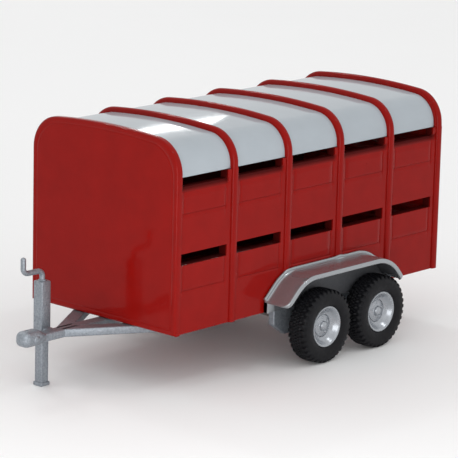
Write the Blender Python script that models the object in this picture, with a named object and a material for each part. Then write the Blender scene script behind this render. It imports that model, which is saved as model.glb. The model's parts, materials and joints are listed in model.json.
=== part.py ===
"""Livestock trailer, a 1:76 die-cast scale model that stands on its four wheels and its jack leg.

The nose of the trailer points along -Y, its left side faces +X and the floor is z = 0. Every piece is
drawn in trailer coordinates, with y = 0 on the outside of the front wall, and hangs on the empty "trailer",
which puts the middle of the whole length over the world's origin.
Run: blender --background --python part.py
"""

import math

import bmesh
import bpy
from mathutils import Vector

MM = 0.001

# Body
BODY_LENGTH = 48.4 * MM
BODY_WIDTH = 23.4 * MM  # over the hoops
BODY_HEIGHT = 22.95 * MM  # from the bottom edge to the top of the hoops
EAVE_DROP = 0.4 * MM  # from the middle of the upper corners' arcs down to the roof's lower edge
RIDE_HEIGHT = 2.5 * MM  # from the axles up to the body's bottom edge
WALL = 1.2 * MM
ROOF_WALL = 0.6 * MM
ROOF_INSET = 0.3 * MM  # of the roof's outside from the side walls' outside
FLOOR_WALL = 1.0 * MM
CORNER_RADIUS = 4.0 * MM  # of the hoops' upper corners
CROWN_RADIUS = 88.0 * MM
FIT = 0.03 * MM  # gap between pieces that rest on each other

# Hoops
HOOP_COUNT = 6
HOOP_WIDTH = 1.0 * MM
HOOP_PROUD = 0.3 * MM

# Vents, two rows in each bay
UPPER_VENT_HEIGHT = 1.1 * MM  # up to the roof's lower edge
LOWER_VENT_SILL = 8.05 * MM  # above the body's bottom edge
LOWER_VENT_HEIGHT = 1.35 * MM
VENT_START = 0.1 * MM  # behind the hoop ahead of it
VENT_END = 0.6 * MM  # ahead of the hoop behind it

# Rear ramp
RAMP_THICKNESS = 1.1 * MM
RAMP_CLEARANCE = 0.1 * MM
HINGE_RADIUS = 0.25 * MM
HINGE_CLEARANCE = 0.05 * MM
HINGE_WALL = 0.12 * MM
HINGE_HEIGHT = 0.47 * MM  # of the hinge rod above the body's bottom edge
HINGE_SETBACK = 0.1 * MM  # of the hinge rod behind the middle of the ramp's thickness
KNUCKLE_WIDTH = 2.0 * MM
KNUCKLE_GAP = 1.17 * MM  # between a knuckle and the floor's outer lug
LUG_WIDTH = 1.0 * MM

# Drawbar
DRAWBAR_REACH = 13.1 * MM  # from the front wall to the nose of the coupling
DRAWBAR_DEPTH = 0.95 * MM
BEAM_WIDTH = 1.5 * MM
RAIL_WIDTH = 1.65 * MM
RAIL_ANGLE = math.radians(31.5)
RAIL_APEX = 6.5 * MM  # how far ahead of the front wall the rails leave the beam
RAIL_TUCK = 3.2 * MM  # how far the drawbar runs under the body
COUPLING_WIDTH = 2.0 * MM
COUPLING_LENGTH = 3.4 * MM
COUPLING_TOP = 0.6 * MM  # above the body's bottom edge
COUPLING_BOTTOM = 1.2 * MM  # below the body's bottom edge

# Jack
JACK_SETBACK = 5.55 * MM  # from the nose of the coupling to the middle of the jack
JACK_GAP = 0.53 * MM  # between the beam's right side and the sleeve
SLEEVE_WIDTH = 1.44 * MM
SLEEVE_TOP = 5.4 * MM
LEG_WIDTH = 1.15 * MM
FOOT_WIDTH = 1.4 * MM
FOOT_HEIGHT = 0.45 * MM
CRANK_RADIUS = 0.32 * MM
CRANK_RISE = 1.15 * MM
CRANK_THROW = 2.85 * MM
CRANK_GRIP = 1.95 * MM
CRANK_BEND = 0.65 * MM
CRANK_SWING = math.radians(267.0)  # direction of the crank's throw, from +X towards +Y

# Chassis under the floor
CHASSIS_RAIL_WIDTH = 1.6 * MM
CHASSIS_RAIL_OFFSET = 5.8 * MM
CROSSMEMBER_WIDTH = 1.0 * MM
CROSSMEMBER_INSET = 2.6 * MM  # from the body's rear end to the rear crossmember

# Wheels
WHEEL_RADIUS = 4.5 * MM
TYRE_WIDTH = 2.75 * MM
TYRE_STANDOFF = 0.45 * MM  # between the hoops and the tyres
TYRE_GAP = 1.2 * MM  # between the front and the rear tyre
SHOULDER_DROP = 0.12 * MM  # of a tyre's shoulder below its tread
RIM_RADIUS = 2.5 * MM
HUB_DEPTH = 1.24 * MM  # from a wheel's outside to the end of its axle
AXLE_MIDDLE = 28.55 * MM  # midway between the axles, behind the front wall
AXLE_RADIUS = 0.5 * MM
WHEEL_SEGMENTS = 32

# Suspension
HANGER_WIDTH = 0.9 * MM
HANGER_INSET = 0.8 * MM  # of the hangers' outside from the hoops' outside
HANGER_LENGTH = 2.1 * MM
HANGER_DEPTH = 2.15 * MM
HANGER_REACH = 4.28 * MM  # from an axle to the middle of the hanger beyond it
SPRING_WALL = 0.45 * MM  # below an axle's bore
AXLE_CLEARANCE = 0.12 * MM

# Mudguards: a flat top that turns down at each end through an arc into a straight slope
GUARD_OVERHANG = 0.3 * MM  # beyond the tyres
GUARD_RISE = 2.4 * MM  # of the top above the tyres
GUARD_SHEET = 0.4 * MM
GUARD_LIP = 0.15 * MM
GUARD_FLANGE = 0.4 * MM  # of the inner plate above the top
GUARD_FRONT_TURN = 2.55 * MM  # from the front axle forwards to where the front arc starts
GUARD_FRONT_RADIUS = 5.3 * MM
GUARD_FRONT_SLOPE = math.radians(43.0)
GUARD_FRONT_TIP = 1.36 * MM  # above the body's bottom edge
GUARD_REAR_TURN = 1.45 * MM  # from the rear axle forwards to where the rear arc starts
GUARD_REAR_RADIUS = 5.6 * MM
GUARD_REAR_SLOPE = math.radians(49.0)
GUARD_REAR_TIP = 1.15 * MM  # above the body's bottom edge

# Worked out from the sizes above
HALF_WIDTH = BODY_WIDTH / 2
PANEL = HALF_WIDTH - HOOP_PROUD  # outside of the side walls
ROOF_DEPTH = HOOP_PROUD + ROOF_INSET  # of the roof's outside in the hoops' outside
FLOOR_HALF = PANEL - WALL - FIT
HOOP_PITCH = (BODY_LENGTH - HOOP_WIDTH) / (HOOP_COUNT - 1)
HOOP_MIDDLES = [HOOP_WIDTH / 2 + HOOP_PITCH * i for i in range(HOOP_COUNT)]
AXLE_HEIGHT = WHEEL_RADIUS
AXLE_SPACING = 2 * WHEEL_RADIUS + TYRE_GAP
AXLES = {"front": AXLE_MIDDLE - AXLE_SPACING / 2, "rear": AXLE_MIDDLE + AXLE_SPACING / 2}
WHEEL_OUTSIDE = HALF_WIDTH + TYRE_STANDOFF + TYRE_WIDTH
GUARD_OUTSIDE = WHEEL_OUTSIDE + GUARD_OVERHANG
GUARD_TOP = 2 * WHEEL_RADIUS + GUARD_RISE
DECK = AXLE_HEIGHT + RIDE_HEIGHT
CORNER_X = HALF_WIDTH - CORNER_RADIUS
CROWN_Z = DECK + BODY_HEIGHT - CROWN_RADIUS
CORNER_Z = CROWN_Z + math.sqrt((CROWN_RADIUS - CORNER_RADIUS) ** 2 - CORNER_X**2)
EAVE = CORNER_Z - EAVE_DROP
FLOOR_END = BODY_LENGTH - RAMP_THICKNESS - RAMP_CLEARANCE
HINGE_Y = BODY_LENGTH - RAMP_THICKNESS / 2 + HINGE_SETBACK
HINGE_Z = DECK + HINGE_HEIGHT
BARREL_RADIUS = HINGE_RADIUS + HINGE_CLEARANCE + HINGE_WALL
DRAWBAR_TOP = DECK - FIT
DRAWBAR_BOTTOM = DRAWBAR_TOP - DRAWBAR_DEPTH
COUPLING_BACK = COUPLING_LENGTH - DRAWBAR_REACH
JACK_X = -(BEAM_WIDTH / 2 + JACK_GAP + SLEEVE_WIDTH / 2)
JACK_Y = JACK_SETBACK - DRAWBAR_REACH
SIDES = {"left": 1, "right": -1}
ARC_STEPS = 8  # straight pieces in each arc of the hoops and guards


def material(name, colour, roughness, metallic=0.0):
    made = bpy.data.materials.new(name)
    made.use_nodes = True
    shader = made.node_tree.nodes["Principled BSDF"]
    shader.inputs["Base Color"].default_value = (*colour, 1.0)
    shader.inputs["Roughness"].default_value = roughness
    shader.inputs["Metallic"].default_value = metallic
    return made


# ---- Shapes ----


def prism(outline, axis, start, end):
    """A closed outline pushed along one axis. Its pairs are the other two axes, in X, Y, Z order."""
    shape = bmesh.new()
    corners = []
    for u, v in outline:
        point = [u, v]
        point.insert("XYZ".index(axis), start)
        corners.append(shape.verts.new(point))
    face = shape.faces.new(corners)
    pushed = bmesh.ops.extrude_face_region(shape, geom=[face])["geom"]
    step = Vector([end - start if letter == axis else 0.0 for letter in "XYZ"])
    moved = [item for item in pushed if isinstance(item, bmesh.types.BMVert)]
    bmesh.ops.translate(shape, vec=step, verts=moved)
    bmesh.ops.recalc_face_normals(shape, faces=shape.faces)
    return shape


def rectangle(low, high):
    return [(low[0], low[1]), (high[0], low[1]), (high[0], high[1]), (low[0], high[1])]


def block(low, high):
    """A box from its lowest to its highest corner."""
    return prism(rectangle(low[1:], high[1:]), "X", low[0], high[0])


def merged(shapes):
    """Several shapes in one mesh, for cutters whose blocks don't touch."""
    whole = bmesh.new()
    for shape in shapes:
        mesh = bpy.data.meshes.new("scrap")
        shape.to_mesh(mesh)
        shape.free()
        whole.from_mesh(mesh)
        bpy.data.meshes.remove(mesh)
    return whole


def turned(profile, segments):
    """A profile of (x, radius) pairs turned round the X axis. Points of radius 0 close it on the axis."""
    shape = bmesh.new()
    points = [shape.verts.new((x, 0.0, radius)) for x, radius in profile]
    pairs = list(zip(points, points[1:]))
    if profile[0][1] > 0.0:
        pairs.append((points[-1], points[0]))
    edges = [shape.edges.new(pair) for pair in pairs]
    bmesh.ops.spin(
        shape,
        geom=points + edges,
        axis=(1.0, 0.0, 0.0),
        cent=(0.0, 0.0, 0.0),
        angle=math.tau,
        steps=segments,
        use_merge=True,
    )
    bmesh.ops.remove_doubles(shape, verts=shape.verts, dist=0.0005 * MM)
    bmesh.ops.recalc_face_normals(shape, faces=shape.faces)
    return shape


def arc(centre, radius, start, end, steps):
    """Points round a centre, from one angle to another in degrees."""
    angles = [math.radians(start + (end - start) * i / steps) for i in range(steps + 1)]
    return [(centre[0] + radius * math.cos(a), centre[1] + radius * math.sin(a)) for a in angles]


def arch(inset):
    """The hoop's outline over the roof, this far in from its outside: from the left eave to the right one.

    A corner arc rises from each side, and one wide crown arc touches both.
    """
    lean = math.degrees(math.atan2(CORNER_X, CORNER_Z - CROWN_Z))
    left = arc((CORNER_X, CORNER_Z), CORNER_RADIUS - inset, 0, 90 - lean, ARC_STEPS)
    crown = arc((0.0, CROWN_Z), CROWN_RADIUS - inset, 90 - lean, 90 + lean, ARC_STEPS)
    right = arc((-CORNER_X, CORNER_Z), CORNER_RADIUS - inset, 90 + lean, 180, ARC_STEPS)
    return left + crown[1:-1] + right


def arch_band(outer_inset, inner_inset, bottom):
    """The outline of a band that follows the arch and stands on two straight legs down to the bottom."""
    outer = arch(outer_inset)
    inner = arch(inner_inset)
    outer = [(outer[0][0], bottom), *outer, (outer[-1][0], bottom)]
    inner = [(inner[0][0], bottom), *inner, (inner[-1][0], bottom)]
    return outer + inner[::-1]


def arch_area(inset, bottom):
    """The whole area under the arch, down to the bottom."""
    outline = arch(inset)
    return [(outline[0][0], bottom), *outline, (outline[-1][0], bottom)]


# ---- Objects ----


def place(name, shape, finish, parent, origin=(0.0, 0.0, 0.0)):
    """An object with its origin at this point of the parent's coordinates, where the shape was drawn."""
    bmesh.ops.translate(shape, vec=-Vector(origin), verts=shape.verts)
    mesh = bpy.data.meshes.new(name)
    shape.to_mesh(mesh)
    shape.free()
    thing = bpy.data.objects.new(name, mesh)
    thing.data.materials.append(finish)
    thing.parent = parent
    thing.location = origin
    bpy.context.scene.collection.objects.link(thing)
    return thing


def helper(name, shape, parent):
    """A shape that only cuts or joins another object."""
    thing = place(name, shape, HELPER, parent)
    thing.hide_render = True
    thing.display_type = "WIRE"
    return thing


def boolean(target, other, operation):
    modifier = target.modifiers.new(other.name, "BOOLEAN")
    modifier.object = other
    modifier.operation = operation
    modifier.solver = "EXACT"


def smooth(thing, angle=35.0):
    thing.data.shade_smooth()
    thing.data.set_sharp_from_angle(angle=math.radians(angle))


def empty(name, location, parent=None):
    thing = bpy.data.objects.new(name, None)
    thing.location = location
    thing.parent = parent
    bpy.context.scene.collection.objects.link(thing)
    return thing


# ---- Body ----


def vent_span(bay):
    """Where the vents of a bay start and end along Y."""
    start = HOOP_MIDDLES[bay] + HOOP_WIDTH / 2 + VENT_START
    end = HOOP_MIDDLES[bay + 1] - HOOP_WIDTH / 2 - VENT_END
    return start, end


def make_walls(trailer):
    front = prism(arch_area(HOOP_PROUD + FIT, DECK), "Y", 0.0, WALL)
    smooth(place("front_wall", front, RED, trailer))
    top = EAVE - FIT
    for side, sign in SIDES.items():
        inside, outside = sorted((sign * (PANEL - WALL), sign * PANEL))
        wall = block((inside, WALL + FIT, DECK), (outside, BODY_LENGTH, top))
        wall = place(f"{side}_wall", wall, RED, trailer)
        slots = []
        for bay in range(HOOP_COUNT - 1):
            start, end = vent_span(bay)
            for sill, head in (
                (EAVE - UPPER_VENT_HEIGHT, EAVE + WALL),
                (DECK + LOWER_VENT_SILL, DECK + LOWER_VENT_SILL + LOWER_VENT_HEIGHT),
            ):
                slots.append(block((inside - WALL, start, sill), (outside + WALL, end, head)))
        boolean(wall, helper(f"{side}_vent_cutter", merged(slots), trailer), "DIFFERENCE")


def make_roof(trailer):
    band = arch_band(ROOF_DEPTH, ROOF_DEPTH + ROOF_WALL, EAVE)
    roof = prism(band, "Y", WALL + FIT, BODY_LENGTH - WALL - FIT)
    smooth(place("roof_skin", roof, WHITE, trailer))
    header = prism(arch_area(HOOP_PROUD + FIT, EAVE), "Y", BODY_LENGTH - WALL, BODY_LENGTH)
    smooth(place("rear_header", header, RED, trailer))


def hoop_outline():
    """A hoop from the front, with its inside on the side walls up to the eaves and on the roof above them."""
    outer = arch(0.0)
    inner = arch(ROOF_DEPTH - FIT)
    leg = PANEL + FIT
    left = [(inner[0][0], EAVE), (leg, EAVE), (leg, DECK)]
    right = [(-x, z) for x, z in left[::-1]]
    return [(outer[0][0], DECK), *outer, (outer[-1][0], DECK)] + right + inner[::-1] + left


def make_hoops(trailer):
    for i, middle in enumerate(HOOP_MIDDLES):
        on_roof = 0 < i < HOOP_COUNT - 1
        band = hoop_outline() if on_roof else arch_band(0.0, HOOP_PROUD - FIT, DECK)
        hoop = prism(band, "Y", middle - HOOP_WIDTH / 2, middle + HOOP_WIDTH / 2)
        smooth(place(f"hoop_{i + 1}", hoop, RED, trailer))


def hinge_outline(reach):
    """A rounded barrel round the hinge rod, drawn out forwards or upwards by reach (dy, dz)."""
    y, z = HINGE_Y, HINGE_Z
    radius = BARREL_RADIUS
    if reach[0]:
        return arc((y, z), radius, 90, -90, 12) + [(y + reach[0], z - radius), (y + reach[0], z + radius)]
    return arc((y, z), radius, 180, 360, 12) + [(y + radius, z + reach[1]), (y - radius, z + reach[1])]


def rod(radius, start, end, centre, segments=20):
    outline = arc(centre, radius, 0, 360, segments)[:-1]
    return prism(outline, "X", start, end)


def make_floor(trailer):
    low = (-FLOOR_HALF, WALL + FIT, DECK)
    plate = place("floor", block(low, (FLOOR_HALF, FLOOR_END, DECK + FLOOR_WALL)), RED, trailer)
    lugs = []
    reach = FLOOR_END - WALL - HINGE_Y
    for x in (-FLOOR_HALF + LUG_WIDTH / 2, 0.0, FLOOR_HALF - LUG_WIDTH / 2):
        lugs.append(prism(hinge_outline((reach, 0.0)), "X", x - LUG_WIDTH / 2, x + LUG_WIDTH / 2))
    boolean(plate, helper("floor_lugs", merged(lugs), trailer), "UNION")
    bore = rod(HINGE_RADIUS + FIT, -HALF_WIDTH, HALF_WIDTH, (HINGE_Y, HINGE_Z))
    boolean(plate, helper("floor_bore", bore, trailer), "DIFFERENCE")
    hinge = rod(HINGE_RADIUS, -FLOOR_HALF, FLOOR_HALF, (HINGE_Y, HINGE_Z))
    smooth(place("ramp_hinge_rod", hinge, SILVER, trailer, (0.0, HINGE_Y, HINGE_Z)))


def make_ramp(trailer):
    half = PANEL - WALL - RAMP_CLEARANCE
    bottom = HINGE_Z + BARREL_RADIUS + HINGE_CLEARANCE
    low = (-half, BODY_LENGTH - RAMP_THICKNESS, bottom)
    high = (half, BODY_LENGTH, EAVE - RAMP_CLEARANCE)
    ramp = place("rear_ramp", block(low, high), RED, trailer, (0.0, HINGE_Y, HINGE_Z))
    barrels = []
    rise = bottom + RAMP_THICKNESS - HINGE_Z
    outer = FLOOR_HALF - LUG_WIDTH - KNUCKLE_GAP
    for x in (-outer, outer - KNUCKLE_WIDTH):
        barrels.append(prism(hinge_outline((0.0, rise)), "X", x, x + KNUCKLE_WIDTH))
    boolean(ramp, helper("ramp_knuckles", merged(barrels), trailer), "UNION")
    bore = rod(HINGE_RADIUS + HINGE_CLEARANCE, -HALF_WIDTH, HALF_WIDTH, (HINGE_Y, HINGE_Z))
    boolean(ramp, helper("ramp_bore", bore, trailer), "DIFFERENCE")


# ---- Drawbar, jack and chassis ----


def make_drawbar(trailer):
    half = BEAM_WIDTH / 2
    beam = block((-half, COUPLING_BACK + FIT, DRAWBAR_BOTTOM), (half, RAIL_TUCK, DRAWBAR_TOP))
    place("drawbar_beam", beam, SILVER, trailer)
    for side, sign in SIDES.items():
        outline = rail_outline(half + FIT)
        rail = prism([(sign * x, y) for x, y in outline], "Z", DRAWBAR_BOTTOM, DRAWBAR_TOP)
        place(f"drawbar_rail_{side}", rail, SILVER, trailer)
    nose = COUPLING_WIDTH / 2
    outline = arc((0.0, -DRAWBAR_REACH + nose), nose, 180, 360, 16)
    outline = [(-nose, COUPLING_BACK), *outline, (nose, COUPLING_BACK)]
    head = prism(outline, "Z", DECK - COUPLING_BOTTOM, DECK + COUPLING_TOP)
    smooth(place("coupling_head", head, SILVER, trailer))


def rail_outline(start_x):
    """The left rail from above: a straight bar that leaves the beam's side and runs back and outwards."""
    slope = math.tan(RAIL_ANGLE)
    across = RAIL_WIDTH / math.cos(RAIL_ANGLE)
    end = RAIL_TUCK
    outer_end = start_x + slope * (end + RAIL_APEX)
    inner_start = -RAIL_APEX + across / slope
    return [(start_x, -RAIL_APEX), (outer_end, end), (outer_end - across, end), (start_x, inner_start)]


def make_jack(trailer):
    half = SLEEVE_WIDTH / 2
    sleeve = prism(sleeve_outline(), "Y", JACK_Y - half, JACK_Y + half)
    place("jack_sleeve", sleeve, SILVER, trailer, (JACK_X, JACK_Y, DECK))
    rings = (
        (FOOT_WIDTH, 0.0),
        (FOOT_WIDTH, FOOT_HEIGHT),
        (LEG_WIDTH, FOOT_HEIGHT),
        (LEG_WIDTH, DRAWBAR_BOTTOM - FIT),
    )
    place("jack_leg", stacked_squares((JACK_X, JACK_Y), rings), SILVER, trailer, (JACK_X, JACK_Y, 0.0))


def sleeve_outline():
    """The sleeve from behind: an upright post with a low bracket that reaches across to the beam's side."""
    outside, inside = JACK_X - SLEEVE_WIDTH / 2, JACK_X + SLEEVE_WIDTH / 2
    beam, top = -BEAM_WIDTH / 2 - FIT, DECK + SLEEVE_TOP
    foot = [(outside, top), (outside, DRAWBAR_BOTTOM), (beam, DRAWBAR_BOTTOM)]
    return [*foot, (beam, DRAWBAR_TOP), (inside, DRAWBAR_TOP), (inside, top)]


def stacked_squares(middle, rings):
    """A post whose squares of these (width, height) stand one above the other round one middle."""
    shape = bmesh.new()
    x, y = middle
    loops = []
    for width, z in rings:
        half = width / 2
        corners = ((x - half, y - half), (x + half, y - half), (x + half, y + half), (x - half, y + half))
        loops.append([shape.verts.new((*corner, z)) for corner in corners])
    shape.faces.new(loops[0][::-1])
    shape.faces.new(loops[-1])
    for lower, upper in zip(loops, loops[1:]):
        for i in range(4):
            j = (i + 1) % 4
            shape.faces.new((lower[i], lower[j], upper[j], upper[i]))
    return shape


def crank_path():
    """The middle line of the crank: up from the sleeve, across by its throw, and up again into the grip."""
    across = Vector((math.cos(CRANK_SWING), math.sin(CRANK_SWING), 0.0))
    up = Vector((0.0, 0.0, 1.0))
    foot = Vector((JACK_X, JACK_Y, DECK + SLEEVE_TOP + FIT))
    knee = foot + up * CRANK_RISE
    elbow = knee + across * CRANK_THROW
    tip = elbow + up * CRANK_GRIP
    steps = 6
    points = [foot]
    for corner, before, after in ((knee, up, across), (elbow, across, up)):
        start = corner - before * CRANK_BEND
        for i in range(steps + 1):
            angle = math.pi / 2 * i / steps
            turn = before * math.sin(angle) + after * (1.0 - math.cos(angle))
            points.append(start + turn * CRANK_BEND)
    return [*points, tip]


def make_crank(trailer):
    curve = bpy.data.curves.new("jack_crank", "CURVE")
    curve.dimensions = "3D"
    curve.bevel_depth = CRANK_RADIUS
    curve.bevel_resolution = 3
    curve.use_fill_caps = True
    path = crank_path()
    spline = curve.splines.new("POLY")
    spline.points.add(len(path) - 1)
    for point, position in zip(spline.points, path):
        point.co = (*(position - path[0]), 1.0)
    crank = bpy.data.objects.new("jack_crank", curve)
    crank.data.materials.append(SILVER)
    crank.parent = trailer
    crank.location = path[0]
    bpy.context.scene.collection.objects.link(crank)


def make_chassis(trailer):
    start = RAIL_TUCK + FIT
    end = BODY_LENGTH - CROSSMEMBER_INSET
    inner = CHASSIS_RAIL_OFFSET - CHASSIS_RAIL_WIDTH / 2
    for side, sign in SIDES.items():
        xs = sorted((sign * inner, sign * (inner + CHASSIS_RAIL_WIDTH)))
        rail = block((xs[0], start, DRAWBAR_BOTTOM), (xs[1], end, DRAWBAR_TOP))
        place(f"chassis_rail_{side}", rail, SILVER, trailer)
    reach = inner - FIT
    for name, y in (("front", start), ("rear", end - CROSSMEMBER_WIDTH)):
        low = (-reach, y, DRAWBAR_BOTTOM)
        high = (reach, y + CROSSMEMBER_WIDTH, DRAWBAR_TOP)
        place(f"{name}_crossmember", block(low, high), SILVER, trailer)


# ---- Running gear ----


def suspension_outline():
    """Side view of one suspension: a plate with three hangers, and a spring between them at each axle."""
    top = DECK - FIT
    foot = DECK - HANGER_DEPTH
    spring_bottom = min(foot, AXLE_HEIGHT - AXLE_RADIUS - AXLE_CLEARANCE - SPRING_WALL)
    half = HANGER_LENGTH / 2
    middles = [AXLES["front"] - HANGER_REACH, AXLE_MIDDLE, AXLES["rear"] + HANGER_REACH]
    first, last = middles[0] - half, middles[-1] + half
    outline = [(last, top), (first, top), (first, foot)]
    for ahead, behind in zip(middles, middles[1:]):
        outline += [(ahead + half, spring_bottom), (behind - half, spring_bottom)]
    return [*outline, (last, foot)]


def make_suspension(trailer):
    outline = suspension_outline()
    outside = HALF_WIDTH - HANGER_INSET
    for side, sign in SIDES.items():
        xs = sorted((sign * outside, sign * (outside - HANGER_WIDTH)))
        unit = place(f"suspension_{side}", prism(outline, "X", *xs), SILVER, trailer)
        reach = (xs[0] - HANGER_WIDTH, xs[1] + HANGER_WIDTH)
        cuts = [rod(AXLE_RADIUS + AXLE_CLEARANCE, *reach, (y, AXLE_HEIGHT)) for y in AXLES.values()]
        boolean(unit, helper(f"suspension_cutter_{side}", merged(cuts), trailer), "DIFFERENCE")


def guard_end(radius, slope, drop):
    """One end of a guard's side view, as (run, fall) from its flat top: an arc, then straight to the tip."""
    angles = [slope * i / ARC_STEPS for i in range(ARC_STEPS + 1)]
    points = [(radius * math.sin(a), radius * (1 - math.cos(a))) for a in angles]
    run, fall = points[-1]
    return [*points, (run + (drop - fall) / math.tan(slope), drop)]


def guard_outline():
    """Side view of a guard's outside, from its front tip over the top to its rear tip."""
    front_turn = AXLES["front"] - GUARD_FRONT_TURN
    rear_turn = AXLES["rear"] - GUARD_REAR_TURN
    front = guard_end(GUARD_FRONT_RADIUS, GUARD_FRONT_SLOPE, GUARD_TOP - DECK - GUARD_FRONT_TIP)
    rear = guard_end(GUARD_REAR_RADIUS, GUARD_REAR_SLOPE, GUARD_TOP - DECK - GUARD_REAR_TIP)
    ahead = [(front_turn - run, GUARD_TOP - fall) for run, fall in front[::-1]]
    return ahead + [(rear_turn + run, GUARD_TOP - fall) for run, fall in rear]


def offset_line(points, distance):
    """An open line moved sideways, to the right of the way it runs. Corners stay sharp and ends level."""
    points = [Vector(point) for point in points]
    ways = [(after - before).normalized() for before, after in zip(points, points[1:])]
    moved = [(points[0].x + distance / ways[0].y, points[0].y)]
    for point, before, after in zip(points[1:-1], ways, ways[1:]):
        middle = (before + after).normalized()
        right = Vector((middle.y, -middle.x))
        moved.append(tuple(point + right * distance / middle.dot(after)))
    return [*moved, (points[-1].x + distance / ways[-1].y, points[-1].y)]


def make_guards(trailer):
    outer = guard_outline()
    inner = offset_line(outer, GUARD_SHEET)
    lip = offset_line(outer, GUARD_SHEET + GUARD_LIP)
    flange = offset_line(outer, -GUARD_FLANGE)
    plate = [(flange[0][0], DECK), *flange, (flange[-1][0], DECK)]
    body_side = PANEL + FIT
    hoop_side = HALF_WIDTH + FIT
    for side, sign in SIDES.items():
        sheet = prism(outer + inner[::-1], "X", *sorted((sign * body_side, sign * GUARD_OUTSIDE)))
        guard = place(f"mudguard_{side}", sheet, SILVER, trailer)
        lip_span = sorted((sign * (GUARD_OUTSIDE - GUARD_SHEET), sign * GUARD_OUTSIDE))
        edge = prism(outer + lip[::-1], "X", *lip_span)
        boolean(guard, helper(f"guard_lip_{side}", edge, trailer), "UNION")
        plate_span = sorted((sign * body_side, sign * (hoop_side + GUARD_SHEET / 2)))
        inner_plate = helper(f"guard_plate_{side}", prism(plate, "X", *plate_span), trailer)
        boolean(guard, inner_plate, "UNION")
        slots = []
        for middle in HOOP_MIDDLES:
            xs = sorted((sign * (body_side - WALL), sign * hoop_side))
            low = (xs[0], middle - HOOP_WIDTH / 2 - FIT, 0.0)
            high = (xs[1], middle + HOOP_WIDTH / 2 + FIT, DECK + BODY_HEIGHT)
            slots.append(block(low, high))
        boolean(guard, helper(f"guard_slots_{side}", merged(slots), trailer), "DIFFERENCE")


def tyre_profile():
    """Section of a tyre, as (x in from its outside, radius): bead, rounded wall, shoulder and flat tread."""
    w = TYRE_WIDTH
    bead = RIM_RADIUS + FIT
    shoulder = WHEEL_RADIUS - SHOULDER_DROP
    return [
        (0.12 * w, bead),
        (0.02 * w, bead + 0.25 * (shoulder - bead)),
        (0.0, bead + 0.6 * (shoulder - bead)),
        (0.06 * w, shoulder),
        (0.2 * w, WHEEL_RADIUS),
        (0.8 * w, WHEEL_RADIUS),
        (0.94 * w, shoulder),
        (w, bead + 0.6 * (shoulder - bead)),
        (0.98 * w, bead + 0.25 * (shoulder - bead)),
        (0.88 * w, bead),
    ]


def rim_profile():
    """Section of a rim, as (x in from the tyre's outside, radius): hub cap, disc, cone, lip and barrel."""
    w = TYRE_WIDTH
    r = RIM_RADIUS
    bore = AXLE_RADIUS + FIT
    return [
        (0.1 * w, 0.0),
        (0.12 * w, 0.2 * r),
        (0.2 * w, 0.28 * r),
        (0.3 * w, 0.3 * r),
        (0.32 * w, 0.55 * r),
        (0.3 * w, 0.68 * r),
        (0.1 * w, 0.88 * r),
        (0.06 * w, 0.95 * r),
        (0.1 * w, r),
        (0.9 * w, r),
        (0.9 * w, bore),
        (HUB_DEPTH, bore),
        (HUB_DEPTH, 0.0),
    ]


def make_wheels(trailer):
    for end, y in AXLES.items():
        axle = empty(f"{end}_axle_centre", (0.0, y, AXLE_HEIGHT), trailer)
        reach = WHEEL_OUTSIDE - HUB_DEPTH - FIT
        pin = rod(AXLE_RADIUS, -reach, reach, (0.0, 0.0))
        smooth(place(f"{end}_axle_pin", pin, STEEL, axle))
        for side, sign in SIDES.items():
            for kind, profile, finish in (
                ("tyre", tyre_profile(), RUBBER),
                ("rim", rim_profile(), RIM_SILVER),
            ):
                placed = [(sign * (WHEEL_OUTSIDE - x), radius) for x, radius in profile]
                wheel = turned(placed, WHEEL_SEGMENTS)
                smooth(place(f"{kind}_{end}_{side}", wheel, finish, axle))


for leftover in list(bpy.data.objects):
    bpy.data.objects.remove(leftover, do_unlink=True)

RED = material("red_paint", (0.36, 0.022, 0.018), 0.3)
WHITE = material("white_paint", (0.62, 0.66, 0.69), 0.25)
SILVER = material("silver_paint", (0.42, 0.44, 0.46), 0.4, 0.6)
RIM_SILVER = material("rim_silver", (0.55, 0.56, 0.58), 0.3, 0.7)
STEEL = material("axle_steel", (0.5, 0.5, 0.5), 0.3, 1.0)
RUBBER = material("tyre_rubber", (0.02, 0.02, 0.022), 0.6)
HELPER = material("helper", (0.8, 0.8, 0.8), 0.5)

whole = empty("trailer", (0.0, (DRAWBAR_REACH - BODY_LENGTH) / 2, 0.0))
make_walls(whole)
make_roof(whole)
make_hoops(whole)
make_floor(whole)
make_ramp(whole)
make_drawbar(whole)
make_jack(whole)
make_crank(whole)
make_chassis(whole)
make_suspension(whole)
make_guards(whole)
make_wheels(whole)
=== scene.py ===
"""Livestock trailer: a small die-cast model of a twin-axle trailer with a white roof and six red hoops.

Every shape is worked out in millimetres in trailer coordinates: x to the trailer's left, y back from the
front wall, z up from the body's bottom edge. `world` turns them into the frame's metres.
"""

import json
import math

import bmesh
import bpy
import numpy as np
from bpy.props import FloatProperty, FloatVectorProperty, IntProperty, PointerProperty
from mathutils import Matrix, Vector

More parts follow.
